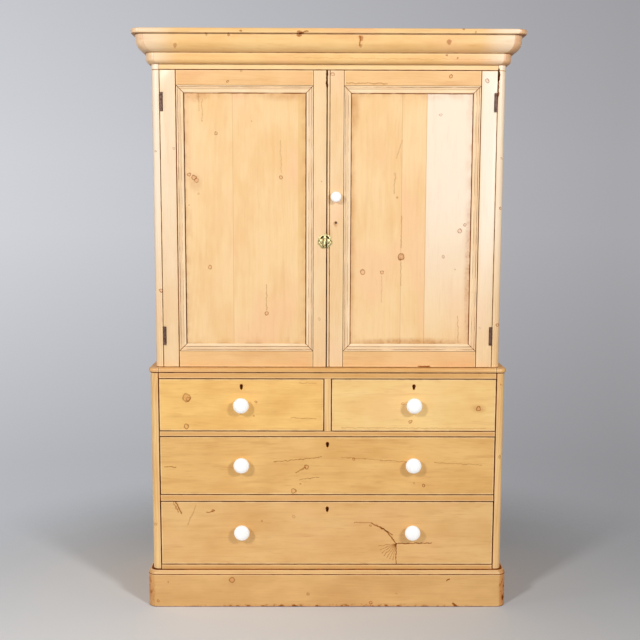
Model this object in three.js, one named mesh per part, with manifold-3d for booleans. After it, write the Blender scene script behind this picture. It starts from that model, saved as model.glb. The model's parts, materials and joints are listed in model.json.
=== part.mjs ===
// Linen press: a two-door cupboard under a cornice, standing on a chest of four drawers.
// Millimetres, +Z up, front towards -Y, origin at the middle of the foot of the bounding box.
import * as THREE from 'three';
import { mergeVertices } from 'three/addons/utils/BufferGeometryUtils.js';
import Module from 'manifold-3d';

const wasm = await Module();
wasm.setup();

// Fits shared by every joint
const FIT = 0.3; // gap between glued, housed or resting pieces
const RUNNING_GAP = 1.5; // gap round doors and drawer fronts
const OVERRUN = 5; // how far a cutter reaches past the face it cuts
const WELD_TOLERANCE = 0.001;

// Plan of the two cases
const UPPER_WIDTH = 1215;
const UPPER_DEPTH = 480;
const CASE_STEP = 19; // chest stands out past the cupboard at the front and at each side
const UPPER_SIDE = 27;
const LOWER_SIDE = 30;
const UPPER_EDGE_RADIUS = 18;
const LOWER_EDGE_RADIUS = 20;
const CORNER_RADIUS = 32; // rounded front corners of every moulding
const CORNER_STEPS = 6;
const BACK_BOARD = 10;
const BACK_BOARD_COUNT = 9;
const BACK_GROOVE = 3; // V joint between the back boards
const HOUSING_DEPTH = 6; // shelves and rails let into the sides

// Heights, from the floor up
const PLINTH_HEIGHT = 118;
const PLINTH_MOULDING_HEIGHT = 17;
const BOTTOM_RAIL = 33.5;
const DEEP_OPENING = 235;
const LOWER_RAIL = 23;
const MIDDLE_OPENING = 213.5;
const UPPER_RAIL = 18.5;
const TOP_OPENING = 189.5;
const TOP_RAIL = 21;
const WAIST_BOARD = 16;
const DOOR_OPENING = 1029.5;
const FRIEZE_RAIL = 53;
const CORNICE_MOULDING = 57.5;
const CAP_BOARD = 17.5;

// Plinth
const PLINTH_STEP = 17.5; // plinth stands out past the chest
const PLINTH_BOARD = 25;
const PLINTH_LIP = 3; // flat edge under the curve of its moulding
const PLINTH_CURVE_STEPS = 4;

// Chest boards
const RAIL_DEPTH = 45;
const DIVIDER = 25;
const DUST_BOARD = 8;
const RUNNER = 42;
const WAIST_PROJECTION = 5.5;
const WAIST_BELLY = 5; // widest part of its edge above its underside
const WAIST_CURVE_STEPS = 4;
const BOTTOM_BOARD = 18;

// Drawers
const DRAWER_FRONT = 22;
const DRAWER_SIDE = 12;
const DRAWER_BOTTOM = 8;
const DRAWER_BOTTOM_RISE = 8; // underside of the bottom above the edge of the sides
const DRAWER_BACK_GAP = 14; // drawer back to the back of the chest
const DRAWER_SIDE_DROP = 4; // sides stop below the top of the front
const KEYHOLE_RADIUS = 3.4;
const KEYHOLE_SLOT = 3.2;
const KEYHOLE_HEIGHT = 15;
const KEYHOLE_DROP = 27; // eye of the keyhole below the top of the front
const KEYHOLE_STEPS = 8;
const TOP_KNOB_RISE = 2; // knobs above the middle of the fronts
const MIDDLE_KNOB_RISE = 6.5;
const DEEP_KNOB_RISE = 8;

// Knobs
const DRAWER_KNOB_RADIUS = 28;
const DRAWER_KNOB_LENGTH = 39;
const DRAWER_KNOB_SHANK = 4.5;
const DOOR_KNOB_RADIUS = 18.5;
const DOOR_KNOB_LENGTH = 29;
const DOOR_KNOB_SHANK = 3.2;
const KNOB_SIDES = 18;
const SHANK_SIDES = 8;
// Knob outline from the collar to the crown: shares of the radius and of the length
const KNOB_SHARES = [
  [0.52, 0], [0.56, 0.06], [0.5, 0.13], [0.4, 0.24], [0.42, 0.34], [0.66, 0.42],
  [0.9, 0.5], [1, 0.63], [0.95, 0.77], [0.76, 0.9], [0.42, 0.98], [0, 1],
];

// Doors
const DOOR_THICKNESS = 22;
const MEETING_GAP = 2.2;
const MEETING_OFFSET = 4.6; // middle of the gap left of the middle of the press
const HINGE_STILE = 56;
const LEFT_MEETING_STILE = 46.3;
const RIGHT_MEETING_STILE = 56.5;
const DOOR_TOP_RAIL = 51;
const DOOR_BOTTOM_RAIL = 56;
const PANEL_RECESS = 10;
const PANEL_THICKNESS = 8;
const GROOVE_DEPTH = 8;
const TENON_LENGTH = 34;
const TENON_SHOULDER = 12; // tenon stops below the outer edge of the rail
const BEAD_WIDTH = 7.5;
const BEAD_QUIRK = 1.6;
const BEAD_STEPS = 6;
const MOULDING_WIDTH = 27;
// Moulding round a panel: shares of its width inwards, and of the recess up from the panel
const MOULDING_SHARES = [
  [0, 0], [0, 0.93], [0.13, 0.93], [0.16, 0.76], [0.3, 0.72], [0.43, 0.56], [0.55, 0.36],
  [0.68, 0.26], [0.74, 0.34], [0.84, 0.34], [0.92, 0.22], [1, 0.04], [1, 0],
];

// Butt hinges
const HINGE_HEIGHT = 63.5;
const HINGE_DEPTH = 19;
const LEAF_THICKNESS = 1.6;
const LEAF_GAP = 0.8; // between the two leaves when the door is shut
const KNUCKLE_RADIUS = 5;
const KNUCKLE_COUNT = 5;
const KNUCKLE_GAP = 0.3;
const PIN_RADIUS = 2.2;
const PIN_CLEARANCE = 0.35;
const PIN_PROUD = 1.5; // pin axis in front of the door face
const HINGE_SIDES = 12;
const UPPER_HINGE_DROP = 107; // middle of the hinge below the top of the door
const LOWER_HINGE_RISE = 111; // middle of the hinge above the foot of the door

// Cupboard boards
const SHELF = 18;
const SHELF_COUNT = 2;
const SHELF_SETBACK = 22; // shelf edge behind the doors
const FRIEZE_SETBACK = 2.5;
const FRIEZE_THICKNESS = 22;
const DOOR_STOP_GAP = 1.5;

// Cornice
const BED_HEIGHT = 35.5;
const BED_PROJECTION = 17;
const BED_FOOT = 3;
const BED_CURVE = 14;
const OVOLO_HEIGHT = 36;
const OVOLO_FOOT = 14;
const OVOLO_PROJECTION = 46;
const OVOLO_TOP_PROJECTION = 47.5; // where it meets the cap board
const CAP_PROJECTION = 60;
const CAP_EDGE_RADIUS = 4;
const CURVE_STEPS = 6;
const CORNICE_WALL = 20;

// Door fittings
const DOOR_KNOB_EDGE = 30; // knob from the meeting edge of the right door
const DOOR_KNOB_HEIGHT = 597; // above the foot of the door
const LOCK_HEIGHT = 508.5;
const LOCK_BODY_WIDTH = 44;
const LOCK_BODY_HEIGHT = 66;
const LOCK_BODY_DEPTH = 11;
const LOCK_POST_RADIUS = 4.5;
const LOCK_POST_PROUD = 0.8;
const CATCH_HEIGHT = 443.5;
const CATCH_RADIUS = 27.5;
const CATCH_CENTRE = 5.8; // middle of the rosette inwards from the left door's meeting edge
const CATCH_THICKNESS = 3.6;
const CATCH_EDGE = 1.4; // rosette stops short of the door's meeting edge
const CATCH_LOBES = 7;
const CATCH_LOBE_SHARE = 0.05;
const CATCH_SIDES = 42;
// Dome of the rosette: shares of its thickness and of its radius
const CATCH_DOME_SHARES = [[0, 1], [0.35, 0.97], [0.7, 0.84], [1, 0.6]];
const DROP_OFFSET = 7.5; // drop handle from the left door's meeting edge
const DROP_RISE = 10; // pivot above the middle of the rosette
const DROP_LENGTH = 27;
const DROP_RADIUS = 3.6;
const DROP_STAND = 8.4; // pivot in front of the door face
const DROP_SIDES = 10;
// Drop outline from its eye down: shares of the radius and of the length
const DROP_SHARES = [
  [0, 0], [0.42, 0.02], [0.4, 0.22], [0.55, 0.34], [0.85, 0.55], [1, 0.74], [0.78, 0.9], [0, 1],
];
const EYE_RADIUS = 2;
const EYE_LENGTH = 3.4;
const EYE_PIN_RADIUS = 0.8;
const EYE_PIN_CLEARANCE = 0.25;
const EAR_THICKNESS = 1.4;
const EAR_GAP = 0.3;

// Heights and faces that follow from the sizes above
const lowerWidth = UPPER_WIDTH + 2 * CASE_STEP;
const lowerInside = lowerWidth / 2 - LOWER_SIDE;
const upperInside = UPPER_WIDTH / 2 - UPPER_SIDE;
const deepFoot = PLINTH_HEIGHT + BOTTOM_RAIL;
const lowerRailFoot = deepFoot + DEEP_OPENING;
const middleFoot = lowerRailFoot + LOWER_RAIL;
const upperRailFoot = middleFoot + MIDDLE_OPENING;
const topFoot = upperRailFoot + UPPER_RAIL;
const topRailFoot = topFoot + TOP_OPENING;
const waistFoot = topRailFoot + TOP_RAIL;
const upperFoot = waistFoot + WAIST_BOARD;
const friezeFoot = upperFoot + DOOR_OPENING;
const corniceFoot = friezeFoot + FRIEZE_RAIL;
const capFoot = corniceFoot + CORNICE_MOULDING;
const innerBack = UPPER_DEPTH - BACK_BOARD;
const upperBoardFront = DOOR_THICKNESS + DOOR_STOP_GAP;
const topDrawerWidth = lowerInside - DIVIDER / 2;
const topDrawerMiddle = (lowerInside + DIVIDER / 2) / 2;
const doorHeight = DOOR_OPENING - 2 * RUNNING_GAP;
const leftDoorWidth = upperInside - RUNNING_GAP - MEETING_GAP / 2 - MEETING_OFFSET;
const rightDoorWidth = upperInside - RUNNING_GAP - MEETING_GAP / 2 + MEETING_OFFSET;
// Faces of the hinge leaves towards the case side, measured from the pin
const caseLeafFace = -KNUCKLE_RADIUS - RUNNING_GAP + FIT;
const doorLeafFace = caseLeafFace + LEAF_THICKNESS + LEAF_GAP;
const foremost = Math.max(CAP_PROJECTION, CASE_STEP + DRAWER_KNOB_LENGTH);

// Hinges on each door, with the middle of each above the foot of the door
const hingeNames = ['lower', 'upper'];
const hingeHeights = [LOWER_HINGE_RISE, doorHeight - UPPER_HINGE_DROP];

// Materials
const PINE = new THREE.Color(0.86, 0.62, 0.35);
const PALE_PINE = new THREE.Color(0.93, 0.74, 0.48);
const INSIDE_PINE = new THREE.Color(0.72, 0.52, 0.31);
const CERAMIC = new THREE.Color(0.95, 0.95, 0.93);
const BRASS = new THREE.Color(0.72, 0.62, 0.34);
const IRON = new THREE.Color(0.3, 0.26, 0.22);

const wood = (color) => new THREE.MeshStandardMaterial({ color, roughness: 0.45, metalness: 0 });
const glaze = () => new THREE.MeshStandardMaterial({ color: CERAMIC, roughness: 0.15, metalness: 0 });
const metal = (color) => new THREE.MeshStandardMaterial({ color, roughness: 0.4, metalness: 1 });

// Six times the volume that a list of triangles encloses, negative when they face inwards.
function sixfoldVolume(points, faces) {
  const [a, b, c] = [new THREE.Vector3(), new THREE.Vector3(), new THREE.Vector3()];
  let sum = 0;
  for (let f = 0; f < faces.length; f += 3) {
    a.fromArray(points, 3 * faces[f]);
    b.fromArray(points, 3 * faces[f + 1]);
    c.fromArray(points, 3 * faces[f + 2]);
    sum += a.dot(b.cross(c));
  }
  return sum;
}

// A closed geometry as a solid, with its seams welded and its faces turned outwards.
function solidOf(geometry) {
  const bare = geometry.clone();
  bare.deleteAttribute('normal');
  bare.deleteAttribute('uv');
  const welded = mergeVertices(bare, WELD_TOLERANCE);
  const points = Float32Array.from(welded.attributes.position.array);
  const faces = [];
  for (let f = 0; f < welded.index.count; f += 3) {
    const [a, b, c] = [0, 1, 2].map((corner) => welded.index.getX(f + corner));
    if (a !== b && b !== c && c !== a) faces.push(a, b, c);
  }
  if (sixfoldVolume(points, faces) < 0) faces.reverse();
  return new wasm.Manifold(new wasm.Mesh({
    numProp: 3, vertProperties: points, triVerts: Uint32Array.from(faces),
  }));
}

const join = (first, ...rest) => rest.reduce((sum, piece) => sum.add(piece), first);
const cut = (first, ...rest) => rest.reduce((sum, piece) => sum.subtract(piece), first);

// A solid as a named mesh. Hand -1 mirrors it from the left side of the press to the right.
function part(name, solid, material, hand = 1) {
  const shape = solid.getMesh();
  const geometry = new THREE.BufferGeometry();
  const points = Float32Array.from(shape.vertProperties);
  const faces = Uint32Array.from(shape.triVerts);
  geometry.setAttribute('position', new THREE.BufferAttribute(points, 3));
  geometry.setIndex(new THREE.BufferAttribute(faces, 1));
  if (hand < 0) {
    geometry.scale(-1, 1, 1);
    geometry.index.array.reverse();
  }
  geometry.computeVertexNormals();
  const piece = new THREE.Mesh(geometry, material);
  piece.name = name;
  return piece;
}

function group(children, x = 0, y = 0, z = 0) {
  const holder = new THREE.Group();
  holder.position.set(x, y, z);
  holder.add(...children);
  return holder;
}

// A box between two values on each axis.
function block([x0, x1], [y0, y1], [z0, z1]) {
  const box = new THREE.BoxGeometry(x1 - x0, y1 - y0, z1 - z0);
  return solidOf(box.translate((x0 + x1) / 2, (y0 + y1) / 2, (z0 + z1) / 2));
}

// An outline pushed along an axis. Its pairs are (x, y) for z, (y, z) for x and (x, z) for y.
function prism(outline, axis, from, to) {
  const pairs = axis === 'y' ? outline.map(([x, z]) => [z, x]) : outline;
  const shape = new THREE.Shape(pairs.map(([a, b]) => new THREE.Vector2(a, b)));
  const body = new THREE.ExtrudeGeometry(shape, { depth: to - from, bevelEnabled: false });
  body.translate(0, 0, from);
  const [x, y, z] = [new THREE.Vector3(1, 0, 0), new THREE.Vector3(0, 1, 0), new THREE.Vector3(0, 0, 1)];
  if (axis === 'x') body.applyMatrix4(new THREE.Matrix4().makeBasis(y, z, x));
  if (axis === 'y') body.applyMatrix4(new THREE.Matrix4().makeBasis(z, x, y));
  return solidOf(body);
}

// A round bar along an axis between two values, its middle at the given place on the other two axes.
function rod(radius, sides, axis, from, to, [a, b]) {
  const bar = new THREE.CylinderGeometry(radius, radius, to - from, sides);
  bar.translate(0, (from + to) / 2, 0);
  if (axis === 'x') return solidOf(bar.rotateZ(-Math.PI / 2).translate(0, a, b));
  if (axis === 'z') return solidOf(bar.rotateX(Math.PI / 2).translate(a, b, 0));
  return solidOf(bar.translate(a, 0, b));
}

// Points on a quarter ellipse from angle to angle, in turns of a quarter circle.
function arc([centreA, centreB], [radiusA, radiusB], fromTurn, toTurn, steps) {
  const points = [];
  for (let step = 0; step <= steps; step += 1) {
    const angle = (Math.PI / 2) * (fromTurn + ((toTurn - fromTurn) * step) / steps);
    points.push([centreA + radiusA * Math.cos(angle), centreB + radiusB * Math.sin(angle)]);
  }
  return points;
}

// A skin over rings of equal length: capped with the given outline, or closed on itself without one.
function loft(rings, capOutline = null) {
  const size = rings[0].length;
  const faces = [];
  const spans = capOutline ? rings.length - 1 : rings.length;
  for (let ring = 0; ring < spans; ring += 1) {
    const here = ring * size;
    const next = ((ring + 1) % rings.length) * size;
    for (let k = 0; k < size; k += 1) {
      const after = (k + 1) % size;
      faces.push(here + k, here + after, next + after, here + k, next + after, next + k);
    }
  }
  if (capOutline) {
    const flat = capOutline.map(([a, b]) => new THREE.Vector2(a, b));
    const turned = THREE.ShapeUtils.isClockWise(flat);
    const last = (rings.length - 1) * size;
    for (const [a, b, c] of THREE.ShapeUtils.triangulateShape(flat, [])) {
      const area = (flat[b].x - flat[a].x) * (flat[c].y - flat[a].y)
        - (flat[c].x - flat[a].x) * (flat[b].y - flat[a].y);
      const [p, q, r] = (area < 0) === turned ? [a, b, c] : [c, b, a];
      faces.push(r, q, p, last + p, last + q, last + r);
    }
  }
  const geometry = new THREE.BufferGeometry();
  geometry.setAttribute('position', new THREE.Float32BufferAttribute(rings.flat(2), 3));
  geometry.setIndex(faces);
  return solidOf(geometry);
}

// The front half of a case outline with rounded front corners, from the back left to the back right.
function frontOutline(halfWidth, front, back, radius) {
  const left = arc([-halfWidth + radius, front + radius], [radius, radius], 2, 3, CORNER_STEPS);
  const right = arc([halfWidth - radius, front + radius], [radius, radius], 3, 4, CORNER_STEPS);
  return [[-halfWidth, back], ...left, ...right, [halfWidth, back]];
}

// Radius of a front corner that stands out past a case whose own edges are rounded.
const cornerAt = (out, edgeRadius) => Math.min(CORNER_RADIUS, edgeRadius + Math.max(out, 0));

// A moulding that runs round the front and both sides of a case, open at the back.
// The profile holds [projection, height] pairs.
function wrapMoulding(profile, halfWidth, front, edgeRadius) {
  const paths = profile.map(([out]) => (
    frontOutline(halfWidth + out, front - out, UPPER_DEPTH, cornerAt(out, edgeRadius))
  ));
  const rings = paths[0].map((unused, station) => (
    profile.map(([, height], point) => [...paths[point][station], height])
  ));
  return loft(rings, profile.map(([out, height]) => [out, height]));
}

// A board whose front and side edges follow a profile of [projection, height].
function edgedBoard(profile, halfWidth, front, edgeRadius) {
  const rings = profile.map(([out, height]) => (
    frontOutline(halfWidth + out, front - out, UPPER_DEPTH, cornerAt(out, edgeRadius))
      .map(([x, y]) => [x, y, height])
  ));
  return loft(rings, rings[0].map(([x, y]) => [x, y]));
}

// A side of a case: outline in plan with its front outer edge rounded, and housings cut in it.
function caseSide(outer, thickness, front, [foot, top], radius, housings) {
  const corner = arc([-outer + radius, front + radius], [radius, radius], 2, 3, CORNER_STEPS);
  const inner = -outer + thickness;
  const outline = [[-outer, UPPER_DEPTH], ...corner, [inner, front], [inner, UPPER_DEPTH]];
  const rebate = block([inner - HOUSING_DEPTH - FIT, inner + OVERRUN],
    [innerBack - FIT, UPPER_DEPTH + OVERRUN], [foot - OVERRUN, top + OVERRUN]);
  const slots = housings.map(([from, to, start, end]) => block(
    [inner - HOUSING_DEPTH - FIT, inner + OVERRUN], [start - FIT, end + FIT], [from - FIT, to + FIT],
  ));
  return cut(prism(outline, 'z', foot, top), rebate, ...slots);
}

// The boards of a case back, side by side, with a V joint between neighbours on the outside.
function backBoards(halfWidth, foot, top) {
  const pitch = (2 * halfWidth) / BACK_BOARD_COUNT;
  const outside = [];
  for (let joint = BACK_BOARD_COUNT - 1; joint > 0; joint -= 1) {
    const x = -halfWidth + joint * pitch;
    const bottom = [x, UPPER_DEPTH - BACK_GROOVE];
    outside.push([x + BACK_GROOVE, UPPER_DEPTH], bottom, [x - BACK_GROOVE, UPPER_DEPTH]);
  }
  const outline = [
    [-halfWidth, innerBack], [halfWidth, innerBack], [halfWidth, UPPER_DEPTH], ...outside,
    [-halfWidth, UPPER_DEPTH],
  ];
  return prism(outline, 'z', foot, top);
}

// Plinth: mitred boards round the front and sides with a moulded top edge, and a rail at the back.
function plinth() {
  const half = lowerWidth / 2;
  const inner = PLINTH_STEP - PLINTH_BOARD;
  const ledge = PLINTH_HEIGHT - FIT;
  const boards = wrapMoulding([[inner, 0], [PLINTH_STEP, 0], [PLINTH_STEP, ledge], [inner, ledge]],
    half, -CASE_STEP, LOWER_EDGE_RADIUS);
  const foot = ledge - FIT;
  const spring = ledge + PLINTH_LIP;
  const rise = PLINTH_HEIGHT + PLINTH_MOULDING_HEIGHT - spring;
  const reach = PLINTH_STEP - PLINTH_LIP;
  const curve = arc([PLINTH_LIP, spring], [reach, rise], 0, 1, PLINTH_CURVE_STEPS);
  const moulding = wrapMoulding([[FIT, foot], [PLINTH_STEP, foot], ...curve, [FIT, spring + rise]],
    half, -CASE_STEP, LOWER_EDGE_RADIUS);
  const wall = half + inner + OVERRUN;
  const backRail = block([-wall, wall], [UPPER_DEPTH - PLINTH_BOARD, UPPER_DEPTH], [0, ledge]);
  return join(boards, moulding, backRail);
}

// A rail with runners and a thin dust board behind it, under a tier of drawers.
function drawerFrame(foot, thickness, runnerPlaces) {
  const reach = lowerInside + HOUSING_DEPTH - FIT;
  const back = innerBack - FIT;
  const board = foot + (thickness - DUST_BOARD) / 2;
  const rise = [foot, foot + thickness];
  const rail = block([-lowerInside + FIT, lowerInside - FIT], [-CASE_STEP, RAIL_DEPTH], rise);
  const dust = block([-reach, reach], [0, back], [board, board + DUST_BOARD]);
  const tongue = block([-reach, reach], [0, RAIL_DEPTH], rise);
  const runners = runnerPlaces.map((span) => block(span, [0, back], rise));
  return join(rail, dust, tongue, ...runners);
}

// Bottom of the chest: a deep front rail and the board behind it.
function chestBottom() {
  const reach = lowerInside + HOUSING_DEPTH - FIT;
  const top = PLINTH_HEIGHT + BOTTOM_RAIL;
  const rail = block([-lowerInside + FIT, lowerInside - FIT], [-CASE_STEP, RAIL_DEPTH], [PLINTH_HEIGHT, top]);
  const board = block([-reach, reach], [0, innerBack - FIT], [top - BOTTOM_BOARD, top]);
  return join(rail, board);
}

// Waist board: covers the chest, with an edge that rounds over at the front and sides.
function waistBoard() {
  const underside = waistFoot + FIT;
  const belly = underside + WAIST_BELLY;
  const rise = waistFoot + WAIST_BOARD - belly;
  const under = arc([0, belly], [WAIST_PROJECTION, WAIST_BELLY], -1, 0, WAIST_CURVE_STEPS);
  const nose = arc([0, belly], [WAIST_PROJECTION, rise], 0, 1, WAIST_CURVE_STEPS);
  const profile = [...under.slice(0, -1), ...nose];
  return edgedBoard(profile, lowerWidth / 2, -CASE_STEP, LOWER_EDGE_RADIUS);
}

// A keyhole outline about its eye: a round head with a slot below it.
function keyhole(x, z) {
  const half = KEYHOLE_SLOT / 2;
  const lean = Math.asin(half / KEYHOLE_RADIUS) / (Math.PI / 2);
  const head = arc([x, z], [KEYHOLE_RADIUS, KEYHOLE_RADIUS], lean - 1, 3 - lean, KEYHOLE_STEPS);
  const foot = z + KEYHOLE_RADIUS - KEYHOLE_HEIGHT;
  return [...head, [x - half, foot], [x + half, foot]];
}

// A turned ceramic knob on its shank. The collar stands on the plane y = 0 and the crown faces -Y.
function knob(radius, length, shank, reach) {
  const outline = KNOB_SHARES.map(([wide, far]) => new THREE.Vector2(radius * wide, FIT + length * far));
  const stemCorners = [[0, -reach], [shank, -reach], [shank, FIT]];
  const stem = stemCorners.map(([wide, far]) => new THREE.Vector2(wide, far));
  const turned = new THREE.LatheGeometry([...stem, ...outline], KNOB_SIDES);
  return solidOf(turned.rotateX(Math.PI));
}

// One drawer as a group at the foot of its opening: front, box and knobs.
function drawer(name, width, height, knobPlaces, knobRise, x, foot) {
  const half = width / 2 - RUNNING_GAP;
  const low = FIT;
  const top = height - RUNNING_GAP;
  const knobHeight = height / 2 + knobRise;
  const shankHoles = knobPlaces.map((place) => rod(DRAWER_KNOB_SHANK + FIT, KNOB_SIDES, 'y',
    -OVERRUN, DRAWER_FRONT + OVERRUN, [place, knobHeight]));
  const lockHole = prism(keyhole(0, top - KEYHOLE_DROP), 'y', -OVERRUN, DRAWER_FRONT + OVERRUN);
  const face = cut(block([-half, half], [0, DRAWER_FRONT], [RUNNING_GAP, top]), lockHole, ...shankHoles);
  const start = DRAWER_FRONT + FIT;
  const end = CASE_STEP + innerBack - DRAWER_BACK_GAP;
  const rim = top - DRAWER_SIDE_DROP;
  const floorFoot = low + DRAWER_BOTTOM_RISE;
  const box = join(
    block([-half, -half + DRAWER_SIDE], [start, end], [low, rim]),
    block([half - DRAWER_SIDE, half], [start, end], [low, rim]),
    block([-half, half], [end - DRAWER_SIDE, end], [floorFoot, rim]),
    block([-half, half], [start, end], [floorFoot, floorFoot + DRAWER_BOTTOM]),
  );
  const knobs = knobPlaces.map((place, index) => {
    const piece = knob(DRAWER_KNOB_RADIUS, DRAWER_KNOB_LENGTH - FIT, DRAWER_KNOB_SHANK, DRAWER_FRONT);
    const mesh = part(`${name}_knob${knobPlaces.length > 1 ? `_${index + 1}` : ''}`, piece, glaze());
    mesh.position.set(place, 0, knobHeight);
    return mesh;
  });
  return group([
    part(`${name}_front`, face, wood(PINE)),
    part(`${name}_box`, box, wood(INSIDE_PINE)),
    ...knobs,
  ], x, -CASE_STEP, foot);
}

// One leaf of a butt hinge about its pin on the z axis. Parity 0 is the leaf on the case side,
// which carries the outer knuckles. Parity 1 is the leaf on the door, which carries the pin.
function hingeLeaf(parity) {
  const half = HINGE_HEIGHT / 2;
  const pitch = (HINGE_HEIGHT + KNUCKLE_GAP) / KNUCKLE_COUNT;
  const near = parity === 0 ? caseLeafFace : doorLeafFace;
  const bar = (radius, low, high) => rod(radius, HINGE_SIDES, 'z', low, high, [0, 0]);
  const knuckleFeet = [];
  for (let index = 0; index < KNUCKLE_COUNT; index += 1) knuckleFeet.push(-half + index * pitch);
  const own = knuckleFeet.filter((unused, index) => index % 2 === parity);
  const others = knuckleFeet.filter((unused, index) => index % 2 !== parity);
  const plate = block([near, near + LEAF_THICKNESS], [0, HINGE_DEPTH + PIN_PROUD], [-half, half]);
  const notches = others.map((low) => bar(KNUCKLE_RADIUS + FIT, low - KNUCKLE_GAP, low + pitch));
  const knuckles = own.map((low) => bar(KNUCKLE_RADIUS, low, low + pitch - KNUCKLE_GAP));
  const leaf = join(cut(plate, ...notches), ...knuckles);
  if (parity === 0) return cut(leaf, bar(PIN_RADIUS + PIN_CLEARANCE, -half - OVERRUN, half + OVERRUN));
  return join(leaf, bar(PIN_RADIUS, -half, half));
}

// The rosette of the catch about its middle, facing -Y, before it is divided between the doors.
function rosette() {
  const rings = CATCH_DOME_SHARES.map(([deep, wide]) => {
    const ring = [];
    for (let side = 0; side < CATCH_SIDES; side += 1) {
      const angle = (2 * Math.PI * side) / CATCH_SIDES;
      const radius = CATCH_RADIUS * wide * (1 - CATCH_LOBE_SHARE * (1 - Math.cos(CATCH_LOBES * angle)));
      ring.push([radius * Math.sin(angle), -FIT - CATCH_THICKNESS * deep, radius * Math.cos(angle)]);
    }
    return ring;
  });
  return loft(rings, rings[0].map(([x, , z]) => [x, z]));
}

// The drop handle about its pivot: a pear-shaped drop under an eye with a cross pin.
function dropHandle() {
  const outline = DROP_SHARES.map(([wide, far]) => new THREE.Vector2(DROP_RADIUS * wide, -DROP_LENGTH * far));
  const pear = solidOf(new THREE.LatheGeometry(outline, DROP_SIDES).rotateX(Math.PI / 2));
  const pin = EYE_LENGTH / 2 + EAR_GAP + EAR_THICKNESS;
  return join(
    pear,
    rod(EYE_RADIUS, DROP_SIDES, 'x', -EYE_LENGTH / 2, EYE_LENGTH / 2, [0, 0]),
    rod(EYE_PIN_RADIUS, SHANK_SIDES, 'x', -pin, pin, [0, 0]),
  );
}

// The two ears that carry the drop handle, about its pivot.
function dropEars() {
  const near = EYE_LENGTH / 2 + EAR_GAP;
  const far = near + EAR_THICKNESS;
  const back = DROP_STAND - FIT - CATCH_THICKNESS / 2;
  const bore = EYE_PIN_RADIUS + EYE_PIN_CLEARANCE;
  const pinHole = rod(bore, SHANK_SIDES, 'x', -far - OVERRUN, far + OVERRUN, [0, 0]);
  const ears = [[-far, -near], [near, far]].map((span) => (
    block(span, [-EYE_RADIUS, back], [-EYE_RADIUS, EYE_RADIUS])
  ));
  return cut(join(...ears), pinHole);
}

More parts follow.
